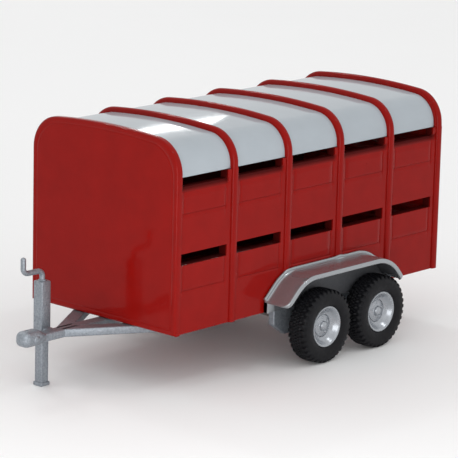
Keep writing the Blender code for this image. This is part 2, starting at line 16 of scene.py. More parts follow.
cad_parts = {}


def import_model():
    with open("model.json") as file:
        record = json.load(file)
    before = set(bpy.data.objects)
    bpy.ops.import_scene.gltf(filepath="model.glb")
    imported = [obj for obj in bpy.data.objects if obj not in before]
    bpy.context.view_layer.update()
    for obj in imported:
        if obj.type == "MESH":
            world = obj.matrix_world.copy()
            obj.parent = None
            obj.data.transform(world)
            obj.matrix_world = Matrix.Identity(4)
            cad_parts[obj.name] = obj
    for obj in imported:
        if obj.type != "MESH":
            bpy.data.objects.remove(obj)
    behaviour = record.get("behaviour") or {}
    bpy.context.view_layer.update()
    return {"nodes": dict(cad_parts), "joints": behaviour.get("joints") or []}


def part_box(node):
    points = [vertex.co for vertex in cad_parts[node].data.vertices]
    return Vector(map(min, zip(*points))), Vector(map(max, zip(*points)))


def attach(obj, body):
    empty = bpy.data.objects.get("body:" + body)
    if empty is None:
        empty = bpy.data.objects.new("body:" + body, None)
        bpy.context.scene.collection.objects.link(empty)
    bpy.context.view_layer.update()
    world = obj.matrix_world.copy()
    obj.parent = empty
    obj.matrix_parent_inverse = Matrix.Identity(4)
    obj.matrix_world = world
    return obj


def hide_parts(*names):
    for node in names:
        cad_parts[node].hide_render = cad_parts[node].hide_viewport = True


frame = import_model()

bl_info = {
    "name": "Livestock trailer",
    "version": (1, 0, 0),
    "blender": (4, 5, 0),
    "location": "3D View > Sidebar > Trailer",
    "description": "Builds the surfaces, paints and stage of a die-cast livestock trailer",
    "category": "Object",
}

MM = 0.001
ORIGIN = np.array([0.0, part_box("front_wall")[0].y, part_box("left_wall")[0].z])


def world(points):
    """Trailer millimetres as the frame's metres."""
    return np.asarray(points, float) * MM + ORIGIN


def span(node):
    """Lowest and highest corner of a CAD node in trailer millimetres."""
    low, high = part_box(node)
    return (np.array(low) - ORIGIN) / MM, (np.array(high) - ORIGIN) / MM


def joint_place(name):
    """A joint's middle in trailer millimetres, as (y, z)."""
    joint = next(j for j in frame["joints"] if j["name"] == name)
    return (np.array(joint["pos_m"]) - ORIGIN)[1:] / MM


# ---- Sizes read from the frame, in trailer millimetres ----

HALF_WIDTH = span("hoop_1")[1][0]  # to the outside of the hoops
PANEL = span("left_wall")[1][0]  # to the outside of the side panels
WALL = PANEL - span("left_wall")[0][0]
PROUD = HALF_WIDTH - PANEL  # of the hoops from the side panels
LENGTH = span("left_wall")[1][1]
HEIGHT = span("hoop_1")[1][2]
EAVE = span("roof_skin")[0][2]
ROOF_DEPTH = HEIGHT - span("roof_skin")[1][2]  # of the roof's outside in the hoops' outside
ROOF_WALL = 0.6
HOOPS = [(span(f"hoop_{i}")[0][1] + span(f"hoop_{i}")[1][1]) / 2 for i in range(1, 7)]
HOOP_WIDTH = span("hoop_1")[1][1] - span("hoop_1")[0][1]
GROUND = -ORIGIN[2] / MM
SIDES = {"left": 1, "right": -1}


# ---- Settings ----


def length(name, description, millimetres):
    """A size property, set in millimetres and held in metres."""
    return FloatProperty(
        name=name, description=description, default=millimetres * MM, unit="LENGTH", precision=6, min=0.0
    )


def colour(name, description, value):
    return FloatVectorProperty(
        name=name, description=description, default=value, subtype="COLOR", size=3, min=0.0, max=1.0
    )


def angle(name, description, degrees):
    return FloatProperty(name=name, description=description, default=math.radians(degrees), subtype="ANGLE")


def factor(name, description, value, top=1.0):
    return FloatProperty(name=name, description=description, default=value, min=0.0, max=top)


def count(name, description, value):
    return IntProperty(name=name, description=description, default=value, min=3)


class BodySizes(bpy.types.PropertyGroup):
    corner_radius: length("Corner radius", "Radius of the hoops' upper corners, on their outside", 4.0)
    crown_radius: length("Crown radius", "Radius of the roof's wide arc, on the hoops' outside", 88.0)
    groove_depth: length("Groove depth", "Depth of the fine grooves round the vent flaps", 0.08)
    groove_width: length("Groove width", "Width of the fine grooves round the vent flaps", 0.1)
    upper_flap: length("Upper flap edge", "Height of the upper flaps' bottom groove", 14.0)
    lower_flap: length("Lower flap edge", "Height of the lower flaps' bottom groove", 5.05)
    upper_sill: length("Upper vent sill", "Height of the upper vents' bottom edge", 17.1)
    lower_sill: length("Lower vent sill", "Height of the lower vents' bottom edge", 8.05)
    lower_head: length("Lower vent head", "Height of the lower vents' top edge", 9.4)
    vent_start: length("Vent start", "From a hoop back to the start of the vents", 0.1)
    vent_end: length("Vent end", "From the end of the vents back to the next hoop", 0.6)
    flap_start: length("Flap start", "From a hoop back to the flaps' front groove", 0.47)
    flap_end: length("Flap end", "From the flaps' rear groove back to the next hoop", 0.92)
    sill_slope: length("Sill slope", "Height of the slope below the upper vents", 0.6)
    sill_sink: length("Sill sink", "Depth of that slope at its top", 0.36)
    rim_rounding: length("Rim rounding", "Radius of the front wall's outer edge", 0.3)
    edge: length("Edge rounding", "Radius of the paint-filled edges", 0.06)


class GearSizes(bpy.types.PropertyGroup):
    lugs: count("Tread lugs", "Number of lugs round a tyre's shoulder", 36)
    lug_depth: length("Lug depth", "Depth of the gaps between the shoulder lugs", 0.24)
    block_depth: length("Block depth", "Depth of the gaps between the small blocks of the tread", 0.13)
    nuts: count("Wheel nuts", "Number of nuts round a wheel's hub", 5)
    nut_circle: length("Nut circle", "Radius of the circle that the nuts stand on", 1.0)
    rail_width: length("Rail width", "Width of the drawbar's slanting rails", 1.65)
    rail_angle: angle("Rail angle", "Angle of the slanting rails to the beam", 31.5)
    crank_radius: length("Crank radius", "Radius of the crank's round bar", 0.32)
    crank_bend: length("Crank bend", "Radius of the crank's two bends, along its middle line", 0.65)
    crank_throw: length("Crank throw", "From the jack's middle out to the crank's grip", 2.85)
    crank_grip: length("Crank grip", "Length of the crank's upright grip", 1.95)
    crank_swing: angle("Crank swing", "Direction of the crank's throw, from the left towards the back", 267.0)
    cast_edge: length("Cast edge", "Radius of the edges of the cast bars and posts", 0.16)


class GuardSizes(bpy.types.PropertyGroup):
    sheet: length("Sheet", "Thickness of the mudguards' sheet", 0.4)
    lip: length("Lip", "Depth of the outer lip, from the guard's top", 0.58)
    corner: length("Corner", "Radius of the tips' outer corners, seen from above", 0.9)
    front_turn: length("Front turn", "From the front axle forwards to where the front arc starts", 2.55)
    front_radius: length("Front radius", "Radius of the front arc", 5.3)
    front_slope: angle("Front slope", "Slope of the straight front end", 43.0)
    front_tip: length("Front tip", "Height of the front tip over the body's bottom edge", 1.36)
    rear_turn: length("Rear turn", "From the rear axle forwards to where the rear arc starts", 1.45)
    rear_radius: length("Rear radius", "Radius of the rear arc", 5.6)
    rear_slope: angle("Rear slope", "Slope of the straight rear end", 49.0)
    rear_tip: length("Rear tip", "Height of the rear tip over the body's bottom edge", 1.15)


class Finishes(bpy.types.PropertyGroup):
    body_red: colour("Body red", "Colour of the body's enamel", (0.252, 0.0052, 0.0035))
    roof_white: colour("Roof white", "Colour of the roof's enamel", (0.395, 0.435, 0.47))
    guard_silver: colour("Guard silver", "Colour of the mudguards' silver paint", (0.36, 0.38, 0.40))
    cast_grey: colour("Cast grey", "Colour of the grained silver paint on the chassis", (0.27, 0.297, 0.33))
    rim_silver: colour("Rim silver", "Colour of the wheels' silver paint", (0.38, 0.40, 0.43))
    # Painted shade: a dark grey standing in for the shade that falls under the mudguards and behind the
    # wheels
    arch_shade_grey: colour("Arch shade grey", "Painted shade under the mudguards and behind the wheels", (0.075, 0.078, 0.086))
    rubber_black: colour("Rubber black", "Colour of the tyres", (0.005, 0.005, 0.0065))
    axle_steel: colour("Axle steel", "Colour of the bare axles", (0.48, 0.48, 0.47))


class StageSettings(bpy.types.PropertyGroup):
    azimuth: angle("Azimuth", "Camera's direction round the trailer", 41.917)
    elevation: angle("Elevation", "Camera's height above the horizon", 13.205)
    roll: angle("Roll", "Camera's roll about its own axis", 1.405)
    distance: length("Distance", "From the camera to the point that it looks at", 326.0)
    lens: FloatProperty(name="Lens", description="Focal length in millimetres", default=210.45, min=10.0)
    floor: colour("Floor", "Colour of the floor", (0.93, 0.93, 0.93))
    surround: factor("Surround", "Brightness of the white surround", 0.85, 4.0)


# ---- Grids and meshes ----


def grid_quads(rows, columns, wrap_rows=False, wrap_columns=False):
    """Quads of a grid of points numbered row by row. A wrapped direction joins its last line to its first."""
    i = np.arange(rows if wrap_rows else rows - 1)[:, None]
    j = np.arange(columns if wrap_columns else columns - 1)[None, :]
    below, beside = (i + 1) % rows, (j + 1) % columns
    corners = (i * columns + j, below * columns + j, below * columns + beside, i * columns + beside)
    return np.stack(np.broadcast_arrays(*corners), -1).reshape(-1, 4)


def tube(rings, caps=True, wrap=False):
    """A shape from rings of points, (rings, points, 3): neighbours are joined, and the two ends capped."""
    rings = np.asarray(rings, float)
    rows, columns = rings.shape[:2]
    faces = grid_quads(rows, columns, wrap, True).tolist()
    if caps and not wrap:
        faces.append(list(range(columns - 1, -1, -1)))
        faces.append(list(range((rows - 1) * columns, rows * columns)))
    return rings.reshape(-1, 3), faces


def slab(outer, inner, solid):
    """A wall between two grids of points, shape (rows, columns, 3). Cells where solid is False are holes."""
    rows, columns = outer.shape[:2]
    index = np.arange(rows * columns).reshape(rows, columns)
    count = index.size
    cells = np.stack([index[:-1, :-1], index[1:, :-1], index[1:, 1:], index[:-1, 1:]], -1)
    front = cells[solid]
    padded = np.pad(solid, 1)
    along = padded[1:-1, :-1] != padded[1:-1, 1:]
    across = padded[:-1, 1:-1] != padded[1:, 1:-1]
    first = np.stack([index[:-1], index[1:]], -1)[along]
    second = np.stack([index[:, :-1], index[:, 1:]], -1)[across]
    edges = np.concatenate([first, second])
    sides = np.stack([edges[:, 0], edges[:, 1], edges[:, 1] + count, edges[:, 0] + count], -1)
    faces = np.concatenate([front, front[:, ::-1] + count, sides])
    used, faces = np.unique(faces, return_inverse=True)
    points = np.concatenate([outer.reshape(-1, 3), inner.reshape(-1, 3)])[used]
    return points, faces.reshape(-1, 4).tolist()


def plane_points(axis, u, v, depth):
    """Points whose axis coordinate is depth, and whose other two, in X, Y, Z order, are u and v."""
    u, v, depth = np.broadcast_arrays(u, v, depth)
    columns = [u, v]
    columns.insert("XYZ".index(axis), depth)
    return np.stack(columns, -1).astype(float)


def prism(outline, axis, start, end):
    """A closed outline pushed along an axis from start to end."""
    outline = np.asarray(outline, float)
    ends = np.array([[start], [end]])
    return tube(plane_points(axis, outline[None, :, 0], outline[None, :, 1], ends))


def soft_prism(outline, axis, start, end, radius, steps=3):
    """A convex outline pushed along an axis, with every edge rounded.

    The outline and the ends are drawn in by the radius. Round each corner, the outline's normal turns from
    one side to the next, and from end to end it turns from the axis's one way to the other. A point is the
    drawn-in corner plus the radius times that normal.
    """
    outline = np.asarray(outline, float)
    ahead = np.roll(outline, -1, 0) - outline
    area = np.sum(outline[:, 0] * np.roll(outline[:, 1], -1) - outline[:, 1] * np.roll(outline[:, 0], -1))
    if area < 0:
        outline = outline[::-1]
        ahead = np.roll(outline, -1, 0) - outline
    ahead /= np.linalg.norm(ahead, axis=1)[:, None]
    normals = np.stack([ahead[:, 1], -ahead[:, 0]], -1)
    before = np.roll(normals, 1, 0)
    middle = before + normals
    inset = outline - radius * middle / np.sum(middle * normals, 1)[:, None]
    first = np.arctan2(before[:, 1], before[:, 0])
    turn = (np.arctan2(normals[:, 1], normals[:, 0]) - first) % math.tau
    angles = first[:, None] + turn[:, None] * np.linspace(0.0, 1.0, steps + 1)
    ways = np.stack([np.cos(angles), np.sin(angles)], -1).reshape(-1, 2)
    corners = np.repeat(inset, steps + 1, axis=0)
    tilt = np.linspace(-math.pi / 2, math.pi / 2, 2 * steps + 2)
    tilt[:steps + 1] = np.linspace(-math.pi / 2, 0.0, steps + 1)
    tilt[steps + 1:] = np.linspace(0.0, math.pi / 2, steps + 1)
    flat = corners[None] + radius * np.cos(tilt)[:, None, None] * ways[None]
    level = np.where(np.arange(len(tilt)) <= steps, start + radius, end - radius) + radius * np.sin(tilt)
    return tube(plane_points(axis, flat[..., 0], flat[..., 1], level[:, None]))


def soft_block(low, high, radius, axis="Z", steps=3):
    """A box with every edge rounded."""
    k = "XYZ".index(axis)
    i, j = [n for n in range(3) if n != k]
    outline = [(low[i], low[j]), (high[i], low[j]), (high[i], high[j]), (low[i], high[j])]
    return soft_prism(outline, axis, low[k], high[k], radius, steps)


def lathe(profile, centre, segments, shift=None):
    """A profile of (x, radius) pairs turned round the X axis through a centre (y, z).

    A point is the centre plus its radius times (cos, sin) of the angle. shift, shape (segments, points), is
    added to the radii.
    """
    profile = np.asarray(profile, float)
    angle = np.arange(segments) / segments * math.tau
    radius = profile[None, :, 1] + (np.zeros((segments, 1)) if shift is None else shift)
    x = np.broadcast_to(profile[None, :, 0], radius.shape)
    y, z = centre[0] + radius * np.cos(angle)[:, None], centre[1] + radius * np.sin(angle)[:, None]
    points = np.stack([x, y, z], -1)
    closed = profile[0, 1] > 0.0
    return points.reshape(-1, 3), grid_quads(segments, len(profile), True, closed).tolist()


def swept_circle(path, radii, sides=20):
    """A circle carried along a path: each ring stands across the path's direction there, with its own radius.

    The ring's first axis is the part of the last ring's axis that lies across the new direction.
    """
    path = np.asarray(path, float)
    ways = np.gradient(path, axis=0)
    ways /= np.linalg.norm(ways, axis=1)[:, None]
    side = np.cross(ways[0], (0.31, 0.92, 0.2))
    rings = []
    angle = np.arange(sides) / sides * math.tau
    for point, way, radius in zip(path, ways, radii):
        side = side - way * side.dot(way)
        side /= np.linalg.norm(side)
        other = np.cross(way, side)
        rings.append(point + radius * (np.cos(angle)[:, None] * side + np.sin(angle)[:, None] * other))
    return tube(rings)


def dome(centre, radius, height, axis, sign, sides=12, rings=5):
    """A low round cap on a face: rings from its rim to its top, on a quarter of an ellipse."""
    lift = np.linspace(0.0, math.pi / 2, rings)
    angle = np.arange(sides) / sides * math.tau
    reach = radius * np.cos(lift)[:, None]
    u, v = reach * np.cos(angle), reach * np.sin(angle)
    level = sign * height * np.sin(lift)[:, None]
    base = plane_points(axis, u, v, level) + np.asarray(centre, float)
    sunk = plane_points(axis, u[:1], v[:1], -sign * height * 0.5) + np.asarray(centre, float)
    return tube(np.concatenate([sunk, base]))


def mesh_of(name, shapes):
    """One mesh of several closed shapes, each welded along its seams, with its faces pointing outwards."""
    whole = bmesh.new()
    for points, faces in shapes:
        scrap = bpy.data.meshes.new("scrap")
        scrap.from_pydata(world(points), [], faces)
        shape = bmesh.new()
        shape.from_mesh(scrap)
        bmesh.ops.remove_doubles(shape, verts=shape.verts, dist=1e-8)
        bmesh.ops.recalc_face_normals(shape, faces=shape.faces)
        shape.to_mesh(scrap)
        shape.free()
        whole.from_mesh(scrap)
        bpy.data.meshes.remove(scrap)
    mesh = bpy.data.meshes.new(name)
    whole.to_mesh(mesh)
    whole.free()
    return mesh


SLOTS = {
    "red": "body_paint",
    "panel": "body_paint",
    "white": "roof_paint",
    "guard": "chassis_paint",
    "arch": "chassis_paint",
    "cast": "chassis_paint",
    "rim": "rim_paint",
    "rubber": "tyre_rubber",
    "steel": "axle_steel",
}


def piece(name, shapes, paint, replaced=(), edge=0.0, limit=50.0, sharp=40.0, body="trailer_body", slot=None):
    """A finished piece: its mesh, paint, rounded edges (edge in millimetres) and place in the frame."""
    mesh, slot = mesh_of(name, shapes), slot or SLOTS[paint]
    thing = bpy.data.objects.new(name, mesh)
    bpy.context.scene.collection.objects.link(thing)
    mesh.materials.append(paints()[paint])
    mesh.shade_smooth()
    if edge:
        bevel = thing.modifiers.new("Rounded edges", "BEVEL")
        bevel.width = edge * MM
        bevel.segments = 3
        bevel.limit_method = "ANGLE"
        bevel.angle_limit = math.radians(limit)
        bevel.harden_normals = True
    else:
        mesh.set_sharp_from_angle(angle=math.radians(sharp))
    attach(thing, body)
    if replaced:
        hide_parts(*replaced)
    return thing


# ---- Paints ----


def new_material(name):
    made = bpy.data.materials.new(name)
    made.use_nodes = True
    nodes = made.node_tree.nodes
    return made, nodes, made.node_tree.links, nodes["Principled BSDF"]


def noise(nodes, links, scale, detail=3.0, roughness=0.55):
    """Noise on Object coordinates, in grains per millimetre."""
    place = nodes.new("ShaderNodeTexCoord")
    grain = nodes.new("ShaderNodeTexNoise")
    grain.inputs["Scale"].default_value = scale / MM
    grain.inputs["Detail"].default_value = detail
    grain.inputs["Roughness"].default_value = roughness
    links.new(place.outputs["Object"], grain.inputs["Vector"])
    return grain.outputs["Fac"]


def ramp(nodes, links, source, low, high, start=0.3, end=0.7):
    """A number's range from start to end, spread over two colours or two greys."""
    spread = nodes.new("ShaderNodeValToRGB")
    spread.color_ramp.elements[0].position = start
    spread.color_ramp.elements[1].position = end
    for element, value in zip(spread.color_ramp.elements, (low, high)):
        element.color = (*value, 1.0) if hasattr(value, "__len__") else (value, value, value, 1.0)
    links.new(source, spread.inputs["Fac"])
    return spread.outputs["Color"]


def shade(value, amount):
    return tuple(min(1.0, c * amount) for c in value)


def bump(nodes, links, height, strength, distance, onto=None):
    """A bump whose height is in millimetres."""
    made = nodes.new("ShaderNodeBump")
    made.inputs["Strength"].default_value = strength
    made.inputs["Distance"].default_value = distance * MM
    links.new(height, made.inputs["Height"])
    if onto is not None:
        links.new(onto, made.inputs["Normal"])
    return made.outputs["Normal"]


def painted_recess_shade(nodes, links, paint, face, roughness):
    """Painted shade within a wall: the paint darkened, and made matt, by a point's depth behind the wall's
    face, for the shade in the vents' jambs and sills.
    """
    place = nodes.new("ShaderNodeTexCoord")
    parts = nodes.new("ShaderNodeSeparateXYZ")
    links.new(place.outputs["Object"], parts.inputs[0])
    away = nodes.new("ShaderNodeMath")
    away.operation = "ABSOLUTE"
    links.new(parts.outputs["X"], away.inputs[0])
    share = nodes.new("ShaderNodeMapRange")
    for name, value in (("From Min", face - 0.28), ("From Max", face - 0.02)):
        share.inputs[name].default_value = value * MM
    share.inputs["To Min"].default_value = 0.25
    links.new(away.outputs[0], share.inputs["Value"])
    # Painted shade: the colour falls to a quarter deep behind the face
    film = nodes.new("ShaderNodeVectorMath")
    film.operation = "SCALE"
    links.new(paint, film.inputs[0])
    links.new(share.outputs[0], film.inputs["Scale"])
    matt = nodes.new("ShaderNodeMapRange")
    matt.inputs["From Min"].default_value = 0.25
    matt.inputs["To Min"].default_value = 0.7
    matt.inputs["To Max"].default_value = roughness
    links.new(share.outputs[0], matt.inputs["Value"])
    return film.outputs[0], matt.outputs[0]


def enamel(name, base, roughness, waviness, gloss, spread=0.06, face=None):
    """Glossy sprayed enamel: faint thick and thin patches, a slow ripple and a fine orange peel."""
    made, nodes, links, shader = new_material(name)
    patches = noise(nodes, links, 0.35, 4.0)
    paint = ramp(nodes, links, patches, shade(base, 1 - spread), shade(base, 1 + spread))
    matt = ramp(nodes, links, noise(nodes, links, 1.6, 5.0), roughness * 0.85, roughness * 1.2)
    # With a face, painted shade darkens the paint behind it
    if face:
        paint, matt = painted_recess_shade(nodes, links, paint, face, roughness)
    links.new(paint, shader.inputs["Base Color"])
    links.new(matt, shader.inputs["Roughness"])
    ripple = bump(nodes, links, noise(nodes, links, 0.45, 2.0), 1.0, waviness)
    peel = bump(nodes, links, noise(nodes, links, 4.0, 1.0), 1.0, waviness * 0.08, ripple)
    links.new(peel, shader.inputs["Normal"])
    shader.inputs["Specular IOR Level"].default_value = gloss
    return made


def silver(name, base, roughness, metallic, grain_size, grain_height, spread=0.1):
    """Silver paint over a casting: flake in the colour and the metal's grain showing through as bumps."""
    made, nodes, links, shader = new_material(name)
    flake = noise(nodes, links, grain_size, 6.0, 0.7)
    tone = ramp(nodes, links, flake, shade(base, 1 - spread), shade(base, 1 + spread))
    links.new(tone, shader.inputs["Base Color"])
    dull = noise(nodes, links, grain_size * 0.5, 4.0)
    links.new(ramp(nodes, links, dull, roughness * 0.8, roughness * 1.25), shader.inputs["Roughness"])
    shader.inputs["Metallic"].default_value = metallic
    slow = bump(nodes, links, noise(nodes, links, grain_size * 0.3, 3.0), 1.0, grain_height)
    fine = bump(nodes, links, noise(nodes, links, grain_size, 5.0, 0.65), 1.0, grain_height, slow)
    links.new(fine, shader.inputs["Normal"])
    return made


def rubber(name, base):
    """Moulded black rubber: a dusty film, fine pores and a slightly uneven sheen."""
    made, nodes, links, shader = new_material(name)
    film = noise(nodes, links, 0.8, 5.0, 0.6)
    links.new(ramp(nodes, links, film, shade(base, 0.8), shade(base, 1.5)), shader.inputs["Base Color"])
    sheen = noise(nodes, links, 2.5, 4.0)
    links.new(ramp(nodes, links, sheen, 0.42, 0.62), shader.inputs["Roughness"])
    pores = noise(nodes, links, 9.0, 3.0, 0.6)
    links.new(bump(nodes, links, pores, 1.0, 0.006), shader.inputs["Normal"])
    shader.inputs["Specular IOR Level"].default_value = 0.18
    return made


def turned_steel(name, base):
    """Bare axle steel with fine turning marks round the X axis."""
    made, nodes, links, shader = new_material(name)
    place = nodes.new("ShaderNodeTexCoord")
    marks = nodes.new("ShaderNodeTexWave")
    marks.bands_direction = "X"
    marks.inputs["Scale"].default_value = 6.0 / MM
    marks.inputs["Distortion"].default_value = 1.5
    links.new(place.outputs["Object"], marks.inputs["Vector"])
    links.new(bump(nodes, links, marks.outputs["Fac"], 1.0, 0.004), shader.inputs["Normal"])
    stain = noise(nodes, links, 0.7, 4.0)
    links.new(ramp(nodes, links, stain, shade(base, 0.8), shade(base, 1.1)), shader.inputs["Base Color"])
    shader.inputs["Metallic"].default_value = 1.0
    shader.inputs["Roughness"].default_value = 0.32
    return made


PAINTS = {}


def paints():
    """The trailer's finishes, made once from the settings."""
    if not PAINTS:
        look = bpy.context.scene.trailer_finishes
        PAINTS["red"] = enamel("red_enamel", look.body_red, 0.1, 0.002, 0.1)
        # Panel enamel: painted shade darkens it inside the vents' jambs and sills
        PAINTS["panel"] = enamel("panel_enamel_recess_shade", look.body_red, 0.1, 0.002, 0.1, face=PANEL)
        PAINTS["white"] = enamel("white_enamel", look.roof_white, 0.08, 0.0015, 0.2, 0.02)
        PAINTS["guard"] = silver("guard_silver", look.guard_silver, 0.2, 0.7, 3.0, 0.001, 0.04)
        # Painted shade: the dark grey plate and underside behind the wheels
        PAINTS["arch"] = silver("arch_shade_grey", look.arch_shade_grey, 0.55, 0.2, 4.0, 0.01, 0.25)
        PAINTS["cast"] = silver("cast_silver", look.cast_grey, 0.36, 0.6, 4.0, 0.045, 0.3)
        PAINTS["rim"] = silver("rim_silver", look.rim_silver, 0.24, 0.7, 2.5, 0.0015, 0.04)
        PAINTS["rubber"] = rubber("tyre_rubber", look.rubber_black)
        PAINTS["steel"] = turned_steel("axle_steel", look.axle_steel)
    return PAINTS


# ---- Body ----


def arch(inset, bottom, steps=14):
    """The hoops' outline seen from the front, this far in from their outside, as points (x, z) and normals.

    A straight side rises on the left, a corner arc turns in, the wide crown arc crosses, and the right side
    mirrors the left. The normal of an arc is the direction from its centre.
    """
    sizes = bpy.context.scene.trailer_body
    corner, crown = sizes.corner_radius / MM, sizes.crown_radius / MM
    corner_x = HALF_WIDTH - corner
    crown_z = HEIGHT - crown
    corner_z = crown_z + math.sqrt((crown - corner) ** 2 - corner_x**2)
    lean = math.pi / 2 - math.atan2(corner_x, corner_z - crown_z)
    turn = np.linspace(0.0, lean, steps + 1)
    wide = np.linspace(lean, math.pi - lean, 3 * steps + 1)[1:-1]
    back = np.linspace(math.pi - lean, math.pi, steps + 1)
    angle = np.concatenate([turn, wide, back])
    parts = [len(turn), len(wide), len(back)]
    centre_x = np.repeat([corner_x, 0.0, -corner_x], parts)
    centre_z = np.repeat([corner_z, crown_z, corner_z], parts)
    radius = np.repeat([corner, crown, corner], parts)
    normals = np.stack([np.cos(angle), np.sin(angle)], -1)
    points = np.stack([centre_x, centre_z], -1) + normals * (radius - inset)[:, None]
    shoulder = points[0, 1]
    close = shoulder - 1.0
    leg = np.concatenate([np.linspace(bottom, close, 8), np.linspace(close, shoulder, 9)[1:-1]])
    leg = leg[leg >= bottom]
    left = np.stack([np.full(len(leg), points[0, 0]), leg], -1)
    outwards = np.tile((1.0, 0.0), (len(leg), 1))
    points = np.concatenate([left, points, left[::-1] * (-1, 1)])
    normals = np.concatenate([outwards, normals, -outwards])
    return points, normals


def build_front_wall():
    """The front wall and its hoop: the outline drawn in to its middle in rings, with a groove inside its rim.

    A ring's points are the middle plus a share of the way to the outline; the crown's height falls with the
    square of that share, and the rings of the front and rear edges lie on quarter circles.
    """
    low, _ = span("front_wall")
    rim, back_rim, crown = bpy.context.scene.trailer_body.rim_rounding / MM, 0.16, 0.05
    groove_place, groove_width, groove_depth = 0.38, 0.1, 0.05
    outline, _ = arch(0.0, 0.0)
    middle = np.array([0.0, HEIGHT / 2])
    half = np.abs(outline - middle).max(0)
    share = np.linspace(0.02, 0.9, 20)
    strip = np.linspace(0.9, 0.0, 22)
    turn = np.linspace(0.0, math.pi / 2, 7)
    front_edge, back_edge = rim * (1 - np.sin(turn[1:])), back_rim * (1 - np.cos(turn))
    inset = np.concatenate([rim + 0 * share, rim + strip, front_edge, back_edge])
    scale = np.concatenate([share, np.ones(len(strip) + 2 * len(turn) - 1)])
    groove_ring = groove_depth * np.exp(-(((strip - groove_place) / groove_width) ** 2))
    depth = np.concatenate([
        crown * share**2,
        crown + groove_ring,
        crown + rim * (1 - np.cos(turn[1:])),
        HOOP_WIDTH - back_rim * (1 - np.sin(turn)),
    ])
    rings = middle + (outline - middle) * (1 - inset[:, None, None] / half) * scale[:, None, None]
    shape = tube(plane_points("Y", rings[..., 0], rings[..., 1], low[1] + depth[:, None]))
    piece("front_panel", [shape], "red", ["front_wall", "hoop_1"])


def groove(lines, places, width, depth):
    """Depth along a line of the grooves at these places: a bell curve round each."""
    away = np.abs(lines[:, None] - np.asarray(places)[None, :]).min(1)
    return depth * np.exp(-((away / width) ** 2) * 3.0)


def side_wall_lines(sizes):
    """The places along Y of a side's features, bay by bay: vent ends, flap sides and hoop edges."""
    bays = []
    for ahead, behind in zip(HOOPS, HOOPS[1:]):
        start = ahead + HOOP_WIDTH / 2
        end = behind - HOOP_WIDTH / 2
        bays.append({
            "vent": (start + sizes.vent_start / MM, end - sizes.vent_end / MM),
            "flap": (start + sizes.flap_start / MM, end - sizes.flap_end / MM),
        })
    return bays


def side_wall(side, sign):
    """A side wall with its two rows of vents, the slopes below the upper row and the grooves of its flaps.

    The outside is a grid over (y, z) whose lines run along every vent edge and close round every groove. Its
    depth is the deeper of the grooves' bell curves across y and across z, each only within its flap.
    """
    sizes = bpy.context.scene.trailer_body
    low, high = span(f"{side}_wall")
    bays = side_wall_lines(sizes)
    width, depth = sizes.groove_width / MM, sizes.groove_depth / MM
    close = width * np.array([-1.0, -0.6, -0.3, 0.0, 0.3, 0.6, 1.0])
    upper, lower = sizes.upper_flap / MM, sizes.lower_flap / MM
    upper_sill, lower_sill, lower_head = sizes.upper_sill / MM, sizes.lower_sill / MM, sizes.lower_head / MM
    front = HOOP_WIDTH - 0.05
    ys = [np.linspace(front, high[1], 60)]
    ys += [np.array(bay["vent"]) for bay in bays]
    ys += [place + close for bay in bays for place in bay["flap"]]
    slope = sizes.sill_slope / MM
    zs = [np.linspace(low[2], high[2], 24), upper + close, lower + close]
    zs.append(np.linspace(upper_sill - slope, upper_sill, 6))
    y = thinned(np.concatenate(ys), [p for bay in bays for p in bay["vent"]])
    z = thinned(np.concatenate(zs), [lower_sill, lower_head, upper_sill, low[2], high[2]])
    sink = np.zeros((len(y), len(z)))
    in_upper = (z >= upper - width) & (z <= upper_sill)
    in_lower = (z >= lower - width) & (z <= lower_sill)
    for bay in bays:
        first, last = bay["flap"]
        within = (y >= first - width) & (y <= last + width)
        upright = groove(y, bay["flap"], width, depth)[:, None] * (in_upper | in_lower)[None, :]
        level = groove(z, [upper, lower], width, depth)[None, :] * within[:, None]
        sink = np.maximum(sink, np.maximum(upright, level))
        in_vent = (y >= bay["vent"][0] - 0.001) & (y <= bay["vent"][1] + 0.001)
        share = np.clip((z - upper_sill + slope) / slope, 0.0, 1.0) * (z <= upper_sill + 0.001)
        sink = np.maximum(sink, sizes.sill_sink / MM * share[None, :] ** 0.7 * in_vent[:, None])
    middle_y, middle_z = (y[:-1] + y[1:]) / 2, (z[:-1] + z[1:]) / 2
    in_bay = np.zeros(len(middle_y), bool)
    for bay in bays:
        in_bay |= (middle_y > bay["vent"][0]) & (middle_y < bay["vent"][1])
    in_row = (middle_z > upper_sill) | ((middle_z > lower_sill) & (middle_z < lower_head))
    solid = ~(in_bay[:, None] & in_row[None, :])
    outer = plane_points("X", y[:, None], z[None, :], sign * (PANEL - sink))
    inner = plane_points("X", y[:, None], z[None, :], sign * (PANEL - WALL))
    return slab(outer, inner, solid)


def thinned(values, kept, least=0.03):
    """Sorted lines with none closer than least, where the kept ones win over their neighbours."""
    values = np.sort(np.concatenate([values, kept]))
    kept = np.asarray(kept)
    near = np.abs(values[:, None] - kept[None, :])
    values = values[(near.min(1) >= least) | (near.min(1) == 0.0)]
    values = np.unique(values)
    gaps = np.diff(values, prepend=values[0] - 1.0)
    is_kept = np.isin(values, kept)
    return values[(gaps >= least * 0.6) | is_kept]


NIBS = {  # specks of thick paint on each side, as (y, z)
    "left": [(17.2, 6.6), (27.9, 7.1), (33.9, 15.4), (24.4, 16.2), (39.2, 10.6), (5.2, 13.6)],
    "right": [(21.4, 12.2)],
}
NIB_RADIUS, NIB_HEIGHT = 0.07, 0.045


def build_side_walls():
    """Both side walls, with a few tiny nibs of paint standing on the outside."""
    edge = bpy.context.scene.trailer_body.edge / MM
    for side, sign in SIDES.items():
        shapes = [side_wall(side, sign)]
        shapes += [dome((sign * PANEL, y, z), NIB_RADIUS, NIB_HEIGHT, "X", sign) for y, z in NIBS[side]]
        # The panel paint carries painted shade inside the vents
        piece(f"{side}_panel", shapes, "panel", [f"{side}_wall"], edge, 60.0)


